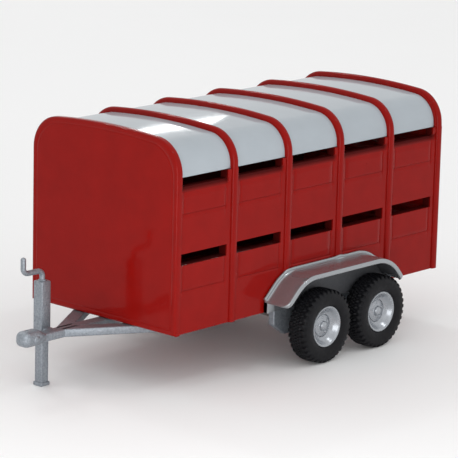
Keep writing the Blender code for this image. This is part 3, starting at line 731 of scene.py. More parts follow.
def build_hoops():
    """The five hoops behind the front one: a rounded section carried up one side, over the roof and down.

    Across the hoop, y is half its width times -cos of an even angle, and the height over the skin is the
    hoop's own height times (1 - |2y / width|^2.6)^(1 / 2.2). The skin lies at the side panels up to the
    eaves and at the roof's outside above them. A point is the arch's point plus height times its normal.
    """
    across = np.cos(np.linspace(math.pi, 0.0, 25))
    rise = np.clip(1 - np.abs(across) ** 2.6, 0.0, 1.0) ** (1 / 2.2)
    path, normals = arch(0.0, 0.0)
    skin = -PROUD - (ROOF_DEPTH - PROUD) * step(path[:, 1], EAVE - 0.15, EAVE + 0.35)[:, None]
    height = np.concatenate([skin - 0.12, skin * (1 - rise), skin - 0.12], axis=1)
    across = np.concatenate([[-1.0], across, [1.0]]) * HOOP_WIDTH / 2
    flat = path[:, None, :] + normals[:, None, :] * height[..., None]
    for i, middle in enumerate(HOOPS[1:], 2):
        y = np.broadcast_to(middle + across, flat.shape[:2])
        shape = tube(plane_points("Y", flat[..., 0], flat[..., 1], y))
        piece(f"hoop_band_{i}", [shape], "red", [f"hoop_{i}"])


def build_roof():
    """The roof skin: a wall between the arch at two insets, from eave to eave and from front to rear."""
    outer, _ = arch(ROOF_DEPTH, EAVE)
    inner, _ = arch(ROOF_DEPTH + ROOF_WALL, EAVE)
    y = np.linspace(HOOP_WIDTH - 0.05, LENGTH - HOOP_WIDTH + 0.05, 40)
    top = plane_points("Y", outer[:, None, 0], outer[:, None, 1], y[None, :])
    under = plane_points("Y", inner[:, None, 0], inner[:, None, 1], y[None, :])
    shape = slab(top, under, np.ones((len(outer) - 1, len(y) - 1), bool))
    piece("roof_shell", [shape], "white", ["roof_skin"], bpy.context.scene.trailer_body.edge / MM, 60.0)


def cad_copy(node):
    """A CAD node's surface in millimetres, its loose triangles merged and its flat faces made whole."""
    shape = bmesh.new()
    shape.from_mesh(frame["nodes"][node].data)
    bmesh.ops.remove_doubles(shape, verts=shape.verts, dist=1e-7)
    bmesh.ops.dissolve_limit(shape, angle_limit=math.radians(1.0), verts=shape.verts, edges=shape.edges)
    scrap = bpy.data.meshes.new("scrap")
    shape.to_mesh(scrap)
    shape.free()
    points = np.empty(3 * len(scrap.vertices), np.float32)
    scrap.vertices.foreach_get("co", points)
    faces = [list(face.vertices) for face in scrap.polygons]
    bpy.data.meshes.remove(scrap)
    return (points.reshape(-1, 3) - ORIGIN) / MM, faces


def build_floor():
    """The floor plate with its hinge lugs, and the hinge rod through them."""
    piece("floor_plate", [cad_copy("floor")], "red", ["floor"], 0.05, 40.0)
    low, high = span("ramp_hinge_rod")
    rod = round_bar(low, high, 0.05, 32)
    piece("hinge_rod", [rod], "steel", ["ramp_hinge_rod"], slot="chassis_paint")


def round_bar(low, high, chamfer, segments):
    """A bar along X between a box's corners, turned with a chamfer at both ends."""
    radius = (high[1] - low[1]) / 2
    end = [(low[0], 0.0), (low[0], radius - chamfer), (low[0] + chamfer, radius)]
    return lathe(end + [(-x, r) for x, r in end[::-1]], (low + high)[1:] / 2, segments)


def barrel(centre, radius, rise, start, end):
    """A hinge knuckle: half a round under the rod's centre with straight sides up to the ramp's edge."""
    angle = np.linspace(math.pi, math.tau, 17)
    round_side = np.stack([centre[0] + radius * np.cos(angle), centre[1] + radius * np.sin(angle)], -1)
    outline = np.concatenate([round_side, [(centre[0] + radius, rise), (centre[0] - radius, rise)]])
    return prism(outline, "X", start, end)


def step(values, start, end):
    """0 before start, 1 after end, and a smooth rise 3t^2 - 2t^3 between."""
    t = np.clip((values - start) / (end - start), 0.0, 1.0)
    return t * t * (3 - 2 * t)


def ramp_relief(x, z, half, low, high):
    """Depth of the ramp's outside: a border round two sunk fields, parted by a middle stile."""
    slope, sunk = 0.18, 0.28
    across = np.minimum(half - np.abs(x) - BORDER, np.abs(x) - STILE)
    up = np.minimum(z - low - BORDER, high - BORDER - z)
    return sunk * step(across, 0.0, slope)[:, None] * step(up, 0.0, slope)[None, :]


RAMP_THICKNESS = 1.1
HEADER_INSET = 0.32  # of the fixed panel's outline from the hoops' outside
KNUCKLE_RADIUS, KNUCKLE_WIDTH, KNUCKLE_STARTS = 0.42, 2.0, (-8.0, 6.0)
RAMP_CLEARANCE = 0.05  # between the knuckles' round and the ramp's bottom edge
BORDER, STILE = 1.5, 0.6  # of the ramp's outside: round the fields, and from the middle to each field
BATTEN_PITCH, BATTEN_GROOVE, BATTEN_DEPTH = 1.15, 0.22, 0.16
# The catches: lowest and highest corner as (from the ramp's side, from its outside, height)
CATCH_PLATE = (1.15, -0.1, 15.6), (0.35, 0.22, 16.3)
CATCH_ARM = (0.95, -0.1, 14.2), (0.6, 0.25, 15.7)
CATCH_PIN = (0.75, 0.2, 15.95)
HANDLE = (-1.6, -0.2, 12.1), (1.6, 0.18, 12.5)


def build_rear():
    """The fixed panel over the ramp, and the ramp with its relief, battens, knuckles and catches.

    The ramp is a wall between two grids over (x, z): its outside sinks into two fields, and its inside has a
    row of shallow grooves, a bell curve each, between the battens.
    """
    header_low, header_high = span("rear_header")
    outline, _ = arch(HEADER_INSET, EAVE)
    outline = outline[outline[:, 1] > EAVE - 1e-6]
    header = prism(outline, "Y", header_low[1], header_high[1])
    piece("rear_header_panel", [header], "red", ["rear_header"], 0.08, 60.0)

    half, back, top = span("rear_ramp")[1]
    hinge = joint_place("rear_ramp_hinge")
    bottom = hinge[1] + KNUCKLE_RADIUS + RAMP_CLEARANCE
    sides = fine_lines([-half + BORDER, -STILE, STILE, half - BORDER], 0.25)
    ends = fine_lines([bottom + BORDER, top - BORDER], 0.25)
    x = thinned(np.concatenate([np.linspace(-half, half, 30), sides]), [-half, half])
    z = thinned(np.concatenate([np.linspace(bottom, top, 60), ends]), [bottom, top])
    sink = ramp_relief(x, z, half, bottom, top)
    gaps = groove(z, np.arange(bottom + 1.2, top - 0.6, BATTEN_PITCH), BATTEN_GROOVE, BATTEN_DEPTH)
    inside = back - RAMP_THICKNESS + np.broadcast_to(gaps, sink.shape)
    outer = plane_points("Y", x[:, None], z[None, :], back - sink)
    inner = plane_points("Y", x[:, None], z[None, :], inside)
    shapes = [slab(outer, inner, np.ones((len(x) - 1, len(z) - 1), bool))]
    for start in KNUCKLE_STARTS:
        shapes.append(barrel(hinge, KNUCKLE_RADIUS, bottom + 0.4, start, start + KNUCKLE_WIDTH))
    rounding = 0.12
    for sign in SIDES.values():
        plate, arm, (pin,) = (
            [(sign * (half - x), back + y, z) for x, y, z in corners]
            for corners in (CATCH_PLATE, CATCH_ARM, (CATCH_PIN,))
        )
        shapes.append(soft_block(*sorted_box(*plate), rounding))
        shapes.append(dome(pin, 0.2, 0.14, "Y", 1, 16))
        shapes.append(soft_block(*sorted_box(*arm), rounding))
    shapes.append(soft_block(*[(x, back + y, z) for x, y, z in HANDLE], rounding))
    edge = bpy.context.scene.trailer_body.edge / MM
    piece("rear_ramp_panel", shapes, "red", ["rear_ramp"], edge, 60.0, body="ramp")


def sorted_box(one, other):
    """The lowest and the highest corner of a box from any two opposite ones."""
    return np.minimum(one, other), np.maximum(one, other)


def fine_lines(places, reach, steps=7):
    """Lines close together on both sides of these places."""
    return (np.asarray(places)[:, None] + np.linspace(-reach, reach, steps)[None, :]).ravel()


# ---- Drawbar, jack and chassis ----


def build_drawbar():
    """The centre beam and the two slanting rails: straight cast bars with rounded edges."""
    gear = bpy.context.scene.trailer_gear
    edge = gear.cast_edge / MM
    slope = math.tan(gear.rail_angle)
    across = gear.rail_width / MM / math.cos(gear.rail_angle)
    piece("beam", [soft_block(*span("drawbar_beam"), edge)], "cast", ["drawbar_beam"])
    for side, sign in SIDES.items():
        low, high = span(f"drawbar_rail_{side}")
        inner, outer = sorted((abs(low[0]), abs(high[0])))
        tuck = inner - 0.1  # how far the rail runs on inside the beam
        outline = [
            (inner - tuck, low[1] - tuck / slope),
            (outer, high[1]),
            (outer - across, high[1]),
            (inner - tuck, low[1] + (across - tuck) / slope),
        ]
        shape = soft_prism([(sign * x, y) for x, y in outline], "Z", low[2], high[2], edge)
        piece(f"rail_{side}", [shape], "cast", [f"drawbar_rail_{side}"])


def upright_ring(centre, inner, outer, top, sunk):
    """A round collar on a level face, with a hollow in its middle: a profile turned round the Z axis."""
    floor, soft = sunk + 0.02, 0.05
    hollow = [(0.0, floor), (inner, floor), (inner, top)]
    profile = np.array([*hollow, (outer - soft, top), (outer, top - soft), (outer, sunk)])
    angle = np.arange(32) / 32 * math.tau
    rings = profile[:, 0, None, None] * np.stack([np.cos(angle), np.sin(angle)], -1)[None]
    level = np.broadcast_to(profile[:, 1, None], rings.shape[:2])
    return tube(np.stack([centre[0] + rings[..., 0], centre[1] + rings[..., 1], level], -1))


def build_coupling():
    """The coupling head: rings of a rounded square along it, from a round nose to the beam's own section.

    A ring's point is half the width times |cos a| to a power, and half the height times |sin a| to that
    power, each with its sign. Both halves grow from the nose as a circle does, and draw in to the beam by a
    smooth step.
    """
    squareness, overlap = 0.62, 0.02
    draw_start, draw_end, reach = 2.5, 3.9, 4.2  # behind the nose
    low, high = span("coupling_head")
    beam_low, beam_high = span("drawbar_beam")
    nose = high[0]
    rounded = nose * (1 - np.cos(np.linspace(0.02, math.pi / 2, 14)))
    along = np.concatenate([rounded, np.linspace(nose, reach, 22)[1:]])
    round_in = np.sqrt(1 - (1 - np.minimum(along, nose) / nose) ** 2)
    draw_in = step(along, draw_start, draw_end)
    half_width = nose * round_in + (beam_high[0] + overlap - nose) * draw_in
    top = high[2] + (beam_high[2] + overlap - high[2]) * draw_in
    bottom = low[2] + (beam_low[2] - overlap - low[2]) * draw_in
    middle, half_height = (top + bottom) / 2, (top - bottom) / 2 * round_in**0.8
    angle = np.linspace(0.0, math.tau, 40, endpoint=False)
    x = np.sign(np.cos(angle)) * np.abs(np.cos(angle)) ** squareness
    z = np.sign(np.sin(angle)) * np.abs(np.sin(angle)) ** squareness
    y = low[1] + along[:, None] + 0 * angle
    rings = np.stack([half_width[:, None] * x, y, middle[:, None] + half_height[:, None] * z], -1)
    shapes = [tube(rings), upright_ring((0.0, low[1] + 1.3), 0.2, 0.38, high[2] + 0.04, high[2] - 0.15)]
    for sign in SIDES.values():
        boss = (sign * (nose - 0.04), low[1] + 2.0, low[2] + 0.8)
        shapes.append(dome(boss, 0.5, 0.16, "X", sign, 24))
    piece("coupling", shapes, "cast", ["coupling_head"])


def crank_line():
    """The crank's middle line: up, a quarter bend across, a quarter bend up again, and its rounded end.

    A bend's point is its start plus the bend's radius times (sin a along the way in, 1 - cos a along the way
    out). The radii after the straight grip fall as a circle's do.
    """
    gear = bpy.context.scene.trailer_gear
    radius, bend, grip = gear.crank_radius / MM, gear.crank_bend / MM, gear.crank_grip / MM
    low, high = span("jack_crank")
    across = np.array([math.cos(gear.crank_swing), math.sin(gear.crank_swing), 0.0])
    up = np.array([0.0, 0.0, 1.0])
    foot = np.array([*post_middle(), low[2]])
    knee = foot + up * (high[2] - low[2] - grip)
    elbow = knee + across * gear.crank_throw / MM
    turn = np.linspace(0.0, math.pi / 2, 13)[:, None]
    first = knee + bend * (up * (np.sin(turn) - 1) + across * (1 - np.cos(turn)))
    second = elbow + bend * (across * (np.sin(turn) - 1) + up * (1 - np.cos(turn)))
    end = np.linspace(0.0, math.pi / 2, 7)
    tip = elbow + up * (grip - radius + radius * np.sin(end))[:, None]
    stem = foot + up * np.linspace(-0.3, 0.2, 3)[:, None]
    path = np.concatenate([stem, first, second, tip])
    radii = np.full(len(path), radius)
    radii[-len(end):] = np.maximum(radius * np.cos(end), 0.02)
    return path, radii


def post_middle():
    """The middle of the jack's post, as (x, y)."""
    low, high = span("jack_leg")
    return (low[:2] + high[:2]) / 2


def build_jack():
    """The jack: a square sleeve with its bracket and collar, the leg on a spread foot, and the bent crank."""
    edge = bpy.context.scene.trailer_gear.cast_edge / MM
    x, y = post_middle()
    low, high = span("jack_sleeve")
    beam_side, beam_top = high[0] + 0.1, span("drawbar_beam")[1][2]
    shapes = [
        soft_block(low, (2 * x - low[0], high[1], high[2]), edge * 0.8),
        soft_block((x, low[1] + 0.12, low[2]), (beam_side, high[1] - 0.12, beam_top), edge, "X"),
        upright_ring((x, y), 0.1, 0.46, high[2] + 0.16, high[2] - 0.1),
    ]
    piece("jack_post", shapes, "cast", ["jack_sleeve"])
    half, foot = 0.575, 0.45  # half the leg's width, and the foot's height
    low, high = span("jack_leg")
    leg = soft_block((x - half, y - half, low[2] + foot / 2), (x + half, y + half, high[2] + 0.2), edge * 0.8)
    shoe = soft_block(low, (high[0], high[1], low[2] + foot), edge * 0.7)
    piece("jack_post_leg", [leg, shoe], "cast", ["jack_leg"])
    piece("crank_handle", [swept_circle(*crank_line())], "cast", ["jack_crank"])


def build_chassis():
    """The rails and crossmembers under the floor."""
    edge = bpy.context.scene.trailer_gear.cast_edge / MM
    for node in ("chassis_rail_left", "chassis_rail_right", "front_crossmember", "rear_crossmember"):
        name = node.replace("chassis_rail", "side_member").replace("crossmember", "cross_tie")
        piece(name, [soft_block(*span(node), edge, "Y" if "rail" in node else "X")], "cast", [node])


def build_suspension():
    """The hangers and springs on each side, with the casting's rounded edges."""
    for side in SIDES:
        piece(f"springs_{side}", [cad_copy(f"suspension_{side}")], "cast", [f"suspension_{side}"], 0.12, 35.0)


# ---- Mudguards ----


def guard_end(radius, slope, drop, steps=16):
    """One end of the guard's side view, as (run, fall) from its top: an arc, then straight to the tip."""
    angle = np.linspace(0.0, slope, steps + 1)
    run, fall = radius * np.sin(angle), radius * (1 - np.cos(angle))
    reach = np.linspace(0.0, 1.0, 13)[1:]
    straight = (drop - fall[-1]) * reach
    down = fall[-1] + straight
    along = run[-1] + straight / math.tan(slope)
    return np.concatenate([run, along]), np.concatenate([fall, down])


def guard_line(top, front_axle, rear_axle):
    """The guard's side view from its front tip over the flat top to its rear tip, as points (y, z)."""
    sizes = bpy.context.scene.trailer_guards
    run, fall = guard_end(sizes.front_radius / MM, sizes.front_slope, top - sizes.front_tip / MM)
    front = np.stack([front_axle - sizes.front_turn / MM - run, top - fall], -1)[::-1]
    run, fall = guard_end(sizes.rear_radius / MM, sizes.rear_slope, top - sizes.rear_tip / MM)
    rear = np.stack([rear_axle - sizes.rear_turn / MM + run, top - fall], -1)
    flat = np.linspace(front[-1], rear[0], 40)[1:-1]
    return np.concatenate([front, flat, rear])


def moved_line(line, distance):
    """A line (y, z) moved along its normals, which point up over the flat top."""
    ways = np.gradient(line, axis=0)
    ways /= np.linalg.norm(ways, axis=1)[:, None]
    return line + np.stack([-ways[:, 1], ways[:, 0]], -1) * np.asarray(distance)[..., None]


def guard_section(inner, outer, sheet, lip):
    """Section across the guard, as (x, height over its top): bead, top, lip and underside.

    The bead against the body and the guard's outer corner are arcs, and so is the lip's bottom edge.
    """
    def arc(x, height, radius, start, end, steps):
        angle = np.radians(np.linspace(start, end, steps))
        return np.stack([x + radius * np.cos(angle), height + radius * np.sin(angle)], -1)

    bead = arc(inner + 0.25, 0.2, 0.21, 180, -20, 10)
    fillet = [(inner + 0.56, 0.06), (inner + 0.72, 0.01)]
    top = [(inner + 1.4, 0.02), (inner + 2.2, 0.03), (outer - 0.9, 0.01)]
    corner = arc(outer - 0.22, -0.22, 0.22, 90, 0, 8)
    rim = arc(outer - 0.16, 0.16 - lip, 0.16, 0, -180, 9)
    under = [(outer - 0.4, -sheet), (outer - 0.6, -sheet), (inner + 0.3, -sheet), (inner, -sheet)]
    return np.concatenate([bead, fillet, top, corner, rim, under])


def guard_sheet(sign, line, inner, outer):
    """The section carried along the guard's line.

    Near each tip it is narrowed as a circle's quarter, for the round outer corner, and thinned to a soft end.
    The bead swells at each hoop by exp(-(distance / 0.55)^2).
    """
    sizes = bpy.context.scene.trailer_guards
    sheet, turn, soft = sizes.sheet / MM, sizes.corner / MM, 0.25
    section = guard_section(inner, outer, sheet, sizes.lip / MM)
    travelled = np.concatenate([[0.0], np.cumsum(np.linalg.norm(np.diff(line, axis=0), axis=1))])
    to_tip = np.minimum(travelled, travelled[-1] - travelled)
    short = np.clip(turn - to_tip, 0.0, turn)
    width = outer - (turn - np.sqrt(turn**2 - short**2)) - inner
    left_in = np.clip(soft - to_tip, 0.0, soft) / soft
    thick = np.sqrt(np.clip(1 - left_in**2, 0.03, 1.0))
    x = inner + (section[None, :, 0] - inner) * (width / (outer - inner))[:, None]
    blob = 0.12 * np.exp(-(((line[:, 0, None] - np.array(HOOPS)[None, :]) / 0.55) ** 2)).sum(1)
    lift = np.where(section[:, 1] > 0.08, blob[:, None], 0.0)
    height = -sheet / 2 + (section[None, :, 1] + sheet / 2) * thick[:, None] + lift
    place = np.stack([moved_line(line, height[:, k]) for k in range(height.shape[1])], 1)
    return tube(plane_points("X", place[..., 0], place[..., 1], sign * x))


def guard_plate(sign, line, inner, outer):
    """The plate behind the wheels, over (y, z).

    Its top follows the guard's bead, and its back steps out over the hoops.
    """
    edges = np.array([[m - HOOP_WIDTH / 2 - 0.04, m + HOOP_WIDTH / 2 + 0.04] for m in HOOPS])
    edges = edges[(edges[:, 0] > line[0, 0]) & (edges[:, 1] < line[-1, 0])]
    y = np.unique(np.concatenate([line[:, 0], edges.ravel() - 0.004, edges.ravel() + 0.004]))
    top = np.interp(y, line[:, 0], line[:, 1])
    share = np.linspace(0.0, 1.0, 8)
    z = 0.04 + (top[:, None] - 0.04) * share[None, :]
    over_hoop = ((y[:, None] > edges[None, :, 0]) & (y[:, None] < edges[None, :, 1])).any(1)
    back = np.where(over_hoop, HALF_WIDTH + 0.02, inner)
    y = np.broadcast_to(y[:, None], z.shape)
    face = plane_points("X", y, z, sign * outer)
    behind = plane_points("X", y, z, sign * np.broadcast_to(back[:, None], z.shape))
    return slab(face, behind, np.ones((z.shape[0] - 1, z.shape[1] - 1), bool))


def guard_shade_sheet(sign, line, inner, outer):
    """Painted shade under the sheet: a thin dark wall along the guard's line, where shade falls."""
    sheet = bpy.context.scene.trailer_guards.sheet / MM
    x = np.linspace(inner + 0.1, outer - 0.34, 6)
    layers = [moved_line(line, np.full(len(line), -depth))[6:-6] for depth in (sheet - 0.02, sheet + 0.02)]
    walls = [plane_points("X", at[:, None, 0], at[:, None, 1], sign * x[None, :]) for at in layers]
    return slab(*walls, np.ones((len(layers[0]) - 1, len(x) - 1), bool))


def build_mudguards():
    """A mudguard on each side: its sheet, and, as painted shade, a dark plate and underside behind the
    wheels.
    """
    front_axle, rear_axle = joint_place("front_axle_spin")[0], joint_place("rear_axle_spin")[0]
    for side, sign in SIDES.items():
        low, high = span(f"mudguard_{side}")
        inner, outer = sorted((abs(low[0]), abs(high[0])))
        line = guard_line(high[2] - 0.4, front_axle, rear_axle)
        edge = moved_line(line, np.full(len(line), -0.1))
        front = edge[edge[:, 0] < edge[0, 0] + 1.3]
        shapes = [guard_sheet(sign, line, inner, outer), guard_plate(sign, front, inner, HALF_WIDTH + 0.27)]
        piece(f"guard_{side}", shapes, "guard", [f"mudguard_{side}"])
        # Painted shade: the plate behind the wheels and the sheet's underside in dark grey
        shapes = [guard_plate(sign, edge, inner, HALF_WIDTH + 0.23), guard_shade_sheet(sign, line, inner, outer)]
        piece(f"guard_shade_sheet_{side}", shapes, "arch")


# ---- Wheels ----


def rounded_line(points, count):
    """A smooth line through the points: a Catmull-Rom curve with this many steps between neighbours."""
    points = np.asarray(points, float)
    padded = np.concatenate([2 * points[:1] - points[1:2], points, 2 * points[-1:] - points[-2:-1]])
    before, start, end, after = padded[:-3], padded[1:-2], padded[2:-1], padded[3:]
    t = np.linspace(0.0, 1.0, count, endpoint=False)[None, :, None]
    before, start, end, after = (p[:, None, :] for p in (before, start, end, after))
    curve = 0.5 * (
        2 * start + (end - before) * t + (2 * before - 5 * start + 4 * end - after) * t**2
        + (3 * start - before - 3 * end + after) * t**3
    )
    return np.concatenate([curve.reshape(-1, 2), points[-1:]])


def pulse(turn, width, ramp_width):
    """1 in the middle of each whole turn, over this share of it, with smooth sides, and 0 elsewhere."""
    away = np.abs(turn % 1.0 - 0.5)
    return 1 - step(away, width / 2, width / 2 + ramp_width)


def tyre_shape(outside, sign, centre, radius, width):
    """A tyre: bead, bulged wall and tread, turned round the axle, its tread cut as depths of the surface.

    The depths are the shoulder lugs' gaps near both edges, the grooves round the tread, and the gaps of the
    small blocks between them. A gap is a smooth pulse of the angle; every second column is half a block on.
    """
    gear = bpy.context.scene.trailer_gear
    bead = [(0.42, 2.30), (0.30, 2.50), (0.13, 2.72), (0.03, 3.1)]
    bulge = [(0.0, 3.5), (0.03, 3.85), (0.08, 4.1), (0.15, 4.3), (0.28, 4.42)]
    crown = [(0.5, 4.48), (0.95, 4.5), (width / 2, 4.5)]
    wall = rounded_line(np.minimum(np.array(bead + bulge + crown), (width, radius)), 5)
    section = np.concatenate([wall, (wall[:-1] * (-1, 1) + (width, 0))[::-1]])
    depth_in, radii = section[:, 0], section[:, 1]
    segments = gear.lugs * 14
    turn = np.arange(segments)[:, None] / segments * gear.lugs
    edge = np.minimum(depth_in, width - depth_in)
    shoulder = step(edge, 0.05, 0.13) * (1 - step(edge, 0.72, 0.8)) * (radii > 3.7)
    lug_gap = pulse(turn + 0.12 * edge[None, :], 0.36, 0.08) * shoulder[None, :]
    margin = 0.8  # from the tread's edge to its first groove
    pitch = (width - 2 * margin) / 3
    tread = step(edge, margin, margin + 0.06)
    column = np.floor((depth_in - margin) / pitch)
    block_gap = pulse(2 * turn + 0.5 * column[None, :], 0.3, 0.1) * tread[None, :]
    rounds = margin + pitch * np.arange(4)
    ring_gap = np.exp(-((np.abs(depth_in[:, None] - rounds[None, :]).min(1) / 0.06) ** 2))
    blocks = np.maximum(block_gap, ring_gap[None, :]) * gear.block_depth / MM
    shift = -np.maximum(lug_gap * gear.lug_depth / MM, blocks)
    profile = np.stack([sign * (outside - depth_in), radii], -1)
    return lathe(profile, centre, segments, shift)


def rim_shapes(outside, sign, centre, width):
    """A rim: hub cap, disc with its ring groove, deep cone and rolled lip, with low domed nuts on the disc.

    The profile is (depth in from the tyre's outside, radius), from the cap's middle out and back behind.
    """
    gear = bpy.context.scene.trailer_gear
    hub, bore = 1.24, 0.53
    cap = [(0.47, 0.0), (0.48, 0.2), (0.53, 0.38), (0.62, 0.51), (0.74, 0.56), (0.88, 0.58)]
    disc = [(0.93, 0.63), (0.95, 0.7), (0.95, 1.24), (0.98, 1.29), (1.1, 1.32), (1.12, 1.38), (1.02, 1.44)]
    cone = [(1.0, 1.52), (0.93, 1.60), (0.88, 1.70), (0.70, 1.88), (0.48, 2.06), (0.33, 2.17), (0.24, 2.25)]
    lip = [(0.19, 2.33), (0.17, 2.41), (0.20, 2.47), (0.28, 2.50), (0.5, 2.5)]
    back_lip = [(width - 0.35, 2.5), (width - 0.28, 2.46), (width - 0.3, 2.36), (width - 0.5, 2.2)]
    back_disc = [(1.6, 2.0), (1.45, 1.7), (1.45, 0.85)]
    back_hub = [(width - 0.6, 0.78), (width - 0.55, 0.7), (width - 0.55, bore), (hub, bore), (hub, 0.0)]
    profile = np.array(cap + disc + cone + lip + back_lip + back_disc + back_hub)
    shapes = [lathe(profile * (-sign, 1) + (sign * outside, 0), centre, 96)]
    circle = gear.nut_circle / MM
    for a in np.arange(gear.nuts) / gear.nuts * math.tau + 0.3:
        spot = (sign * (outside - 0.95), centre[0] + circle * math.cos(a), centre[1] + circle * math.sin(a))
        shapes.append(dome(spot, 0.15, 0.09, "X", sign, 16))
    return shapes


def build_wheels():
    """Both axles and their wheels: tyres, rims and the axle pins between them."""
    for end in ("front", "rear"):
        centre, body = joint_place(f"{end}_axle_spin"), f"{end}_wheels"
        pin = round_bar(*span(f"{end}_axle_pin"), 0.06, 40)
        piece(f"{end}_axle", [pin], "steel", [f"{end}_axle_pin"], body=body)
        for side, sign in SIDES.items():
            low, high = span(f"tyre_{end}_{side}")
            outside = max(abs(low[0]), abs(high[0]))
            width, radius = high[0] - low[0], (high[2] - low[2]) / 2
            tyre = tyre_shape(outside, sign, centre, radius, width)
            rim = rim_shapes(outside, sign, centre, width)
            piece(f"{end}_{side}_tyre", [tyre], "rubber", [f"tyre_{end}_{side}"], sharp=50.0, body=body)
            piece(f"{end}_{side}_rim", rim, "rim", [f"rim_{end}_{side}"], sharp=38.0, body=body)


# ---- Stage ----


def soft_light(name, direction, distance, size, power, aim):
    """A rectangular soft light that faces the aim from this direction and distance, in millimetres."""
    back = Vector(direction).normalized()
    lamp = bpy.data.lights.new(name, "AREA")
    lamp.shape = "RECTANGLE"
    lamp.size, lamp.size_y = size[0] * MM, size[1] * MM
    lamp.energy = power
    holder = bpy.data.objects.new(name, lamp)
    holder.location = Vector(world(aim)) + back * distance * MM
    holder.rotation_mode = "QUATERNION"
    holder.rotation_quaternion = back.to_track_quat("Z", "Y")
    bpy.context.scene.collection.objects.link(holder)
    return holder


def build_stage():
    """The pale floor, the white surround, the soft lights and the camera."""
    scene = bpy.context.scene
    look = scene.trailer_stage
    scene.view_settings.view_transform = "Standard"
    reach = 2500.0
    lines = np.linspace(-reach, reach, 3)
    points = plane_points("Z", lines[:, None], lines[None, :], GROUND).reshape(-1, 3)
    mesh = bpy.data.meshes.new("floor_sheet")
    mesh.from_pydata(world(points), [], grid_quads(3, 3).tolist())
    sheet = bpy.data.objects.new("floor_sheet", mesh)
    made, nodes, links, shader = new_material("floor_white")
    tone = noise(nodes, links, 0.02, 3.0)
    links.new(ramp(nodes, links, tone, shade(look.floor, 0.99), look.floor[:]), shader.inputs["Base Color"])
    shader.inputs["Roughness"].default_value = 0.6
    shader.inputs["Specular IOR Level"].default_value = 0.2
    mesh.materials.append(made)
    scene.collection.objects.link(sheet)

    surround = bpy.data.worlds.new("white_surround")
    surround.use_nodes = True
    backdrop = surround.node_tree.nodes["Background"]
    backdrop.inputs["Color"].default_value = (1.0, 1.0, 1.0, 1.0)
    backdrop.inputs["Strength"].default_value = look.surround
    scene.world = surround

    middle = (0.0, 24.0, 10.0)
    soft_light("top_light", (0.1, -0.1, 1.0), 420, (420, 420), 0.06, middle)
    soft_light("left_light", (0.9, -0.3, 0.5), 480, (300, 240), 0.06, middle)
    soft_light("corner_light", (0.75, -0.65, 0.0), 75, (60, 60), 0.026, (8.0, 4.0, 5.0))
    soft_light("hoop_light", (-0.65, 0.16, 0.75), 420, (30, 30), 0.09, middle)
    soft_light("shoulder_light", (0.5, 0.23, 0.84), 420, (26, 26), 0.09, middle)
    soft_light("crown_light", (-0.65, 0.715, 0.255), 420, (24, 12), 0.01, (4.2, 8.5, 22.25))

    back = Vector((
        math.sin(look.azimuth) * math.cos(look.elevation),
        -math.cos(look.azimuth) * math.cos(look.elevation),
        math.sin(look.elevation),
    ))
    right = Vector((0.0, 0.0, 1.0)).cross(back).normalized()
    up = back.cross(right)
    turned_right = right * math.cos(look.roll) + up * math.sin(look.roll)
    turned_up = up * math.cos(look.roll) - right * math.sin(look.roll)
    lens = bpy.data.cameras.new("camera")
    lens.lens = look.lens
    lens.sensor_width = 36.0
    lens.clip_start, lens.clip_end = 0.01, 20.0
    camera = bpy.data.objects.new("camera", lens)
    place = Vector(world((-0.52, 22.48, 6.95))) + back * look.distance
    camera.matrix_world = Matrix((
        (turned_right.x, turned_up.x, back.x, place.x),
        (turned_right.y, turned_up.y, back.y, place.y),
        (turned_right.z, turned_up.z, back.z, place.z),
        (0.0, 0.0, 0.0, 1.0),
    ))
    scene.collection.objects.link(camera)
    scene.camera = camera


# ---- Operators and panel ----


class TRAILER_OT_stage(bpy.types.Operator):
    """Lay the floor, hang the lights and set the camera"""

    bl_idname = "trailer.stage"
    bl_label = "Stage"

    def execute(self, context):
        build_stage()
        return {"FINISHED"}


class TRAILER_OT_front_wall(bpy.types.Operator):
    """Build the front wall"""

    bl_idname = "trailer.front_wall"
    bl_label = "Front wall"

    def execute(self, context):
        build_front_wall()
        return {"FINISHED"}


class TRAILER_OT_side_walls(bpy.types.Operator):
    """Build both side walls with their vents and flaps"""

    bl_idname = "trailer.side_walls"
    bl_label = "Side walls"

    def execute(self, context):
        build_side_walls()
        return {"FINISHED"}


class TRAILER_OT_roof(bpy.types.Operator):
    """Build the white roof skin"""

    bl_idname = "trailer.roof"
    bl_label = "Roof"

    def execute(self, context):
        build_roof()
        return {"FINISHED"}


class TRAILER_OT_hoops(bpy.types.Operator):
    """Build the hoops over the sides and the roof"""

    bl_idname = "trailer.hoops"
    bl_label = "Hoops"

    def execute(self, context):
        build_hoops()
        return {"FINISHED"}


class TRAILER_OT_floor(bpy.types.Operator):
    """Build the floor plate and the ramp's hinge rod"""

    bl_idname = "trailer.floor"
    bl_label = "Floor"

    def execute(self, context):
        build_floor()
        return {"FINISHED"}


class TRAILER_OT_rear(bpy.types.Operator):
    """Build the rear ramp and the panel over it"""

    bl_idname = "trailer.rear"
    bl_label = "Rear ramp"

    def execute(self, context):
        build_rear()
        return {"FINISHED"}


class TRAILER_OT_drawbar(bpy.types.Operator):
    """Build the drawbar's beam and rails"""

    bl_idname = "trailer.drawbar"
    bl_label = "Drawbar"

    def execute(self, context):
        build_drawbar()
        return {"FINISHED"}


class TRAILER_OT_coupling(bpy.types.Operator):
    """Build the coupling head"""

    bl_idname = "trailer.coupling"
    bl_label = "Coupling"

    def execute(self, context):
        build_coupling()
        return {"FINISHED"}


class TRAILER_OT_jack(bpy.types.Operator):
    """Build the jack's sleeve, leg and crank"""

    bl_idname = "trailer.jack"
    bl_label = "Jack"

    def execute(self, context):
        build_jack()
        return {"FINISHED"}


class TRAILER_OT_chassis(bpy.types.Operator):
    """Build the rails and crossmembers under the floor"""

    bl_idname = "trailer.chassis"
    bl_label = "Chassis"

    def execute(self, context):
        build_chassis()
        return {"FINISHED"}


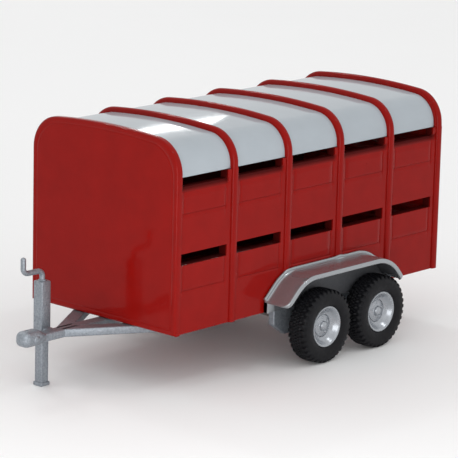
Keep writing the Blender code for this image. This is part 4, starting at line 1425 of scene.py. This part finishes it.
class TRAILER_OT_suspension(bpy.types.Operator):
    """Build the hangers and springs"""

    bl_idname = "trailer.suspension"
    bl_label = "Suspension"

    def execute(self, context):
        build_suspension()
        return {"FINISHED"}


class TRAILER_OT_mudguards(bpy.types.Operator):
    """Build both mudguards"""

    bl_idname = "trailer.mudguards"
    bl_label = "Mudguards"

    def execute(self, context):
        build_mudguards()
        return {"FINISHED"}


class TRAILER_OT_wheels(bpy.types.Operator):
    """Build the axles, rims and tyres"""

    bl_idname = "trailer.wheels"
    bl_label = "Wheels"

    def execute(self, context):
        build_wheels()
        return {"FINISHED"}


GROUPS = {
    "trailer_body": BodySizes,
    "trailer_gear": GearSizes,
    "trailer_guards": GuardSizes,
    "trailer_finishes": Finishes,
    "trailer_stage": StageSettings,
}
OPERATORS = [
    TRAILER_OT_stage,
    TRAILER_OT_front_wall,
    TRAILER_OT_side_walls,
    TRAILER_OT_roof,
    TRAILER_OT_hoops,
    TRAILER_OT_floor,
    TRAILER_OT_rear,
    TRAILER_OT_drawbar,
    TRAILER_OT_coupling,
    TRAILER_OT_jack,
    TRAILER_OT_chassis,
    TRAILER_OT_suspension,
    TRAILER_OT_mudguards,
    TRAILER_OT_wheels,
]


class TRAILER_PT_panel(bpy.types.Panel):
    """The trailer's settings, and a button for each of its pieces"""

    bl_label = "Livestock trailer"
    bl_idname = "TRAILER_PT_panel"
    bl_space_type = "VIEW_3D"
    bl_region_type = "UI"
    bl_category = "Trailer"

    def draw(self, context):
        for name in GROUPS:
            settings = getattr(context.scene, name)
            box = self.layout.box()
            for field in settings.bl_rna.properties:
                if not field.is_readonly and field.identifier != "name":
                    box.prop(settings, field.identifier)
        for operator in OPERATORS:
            self.layout.operator(operator.bl_idname)


CLASSES = [*GROUPS.values(), *OPERATORS, TRAILER_PT_panel]


def register():
    for item in CLASSES:
        bpy.utils.register_class(item)
    for name, group in GROUPS.items():
        setattr(bpy.types.Scene, name, PointerProperty(type=group))


def unregister():
    for name in GROUPS:
        delattr(bpy.types.Scene, name)
    for item in reversed(CLASSES):
        bpy.utils.unregister_class(item)


def main():
    """Builds the stage and every piece in order."""
    register()
    for operator in OPERATORS:
        group, name = operator.bl_idname.split(".")
        getattr(getattr(bpy.ops, group), name)()


if __name__ == "__main__":
    main()
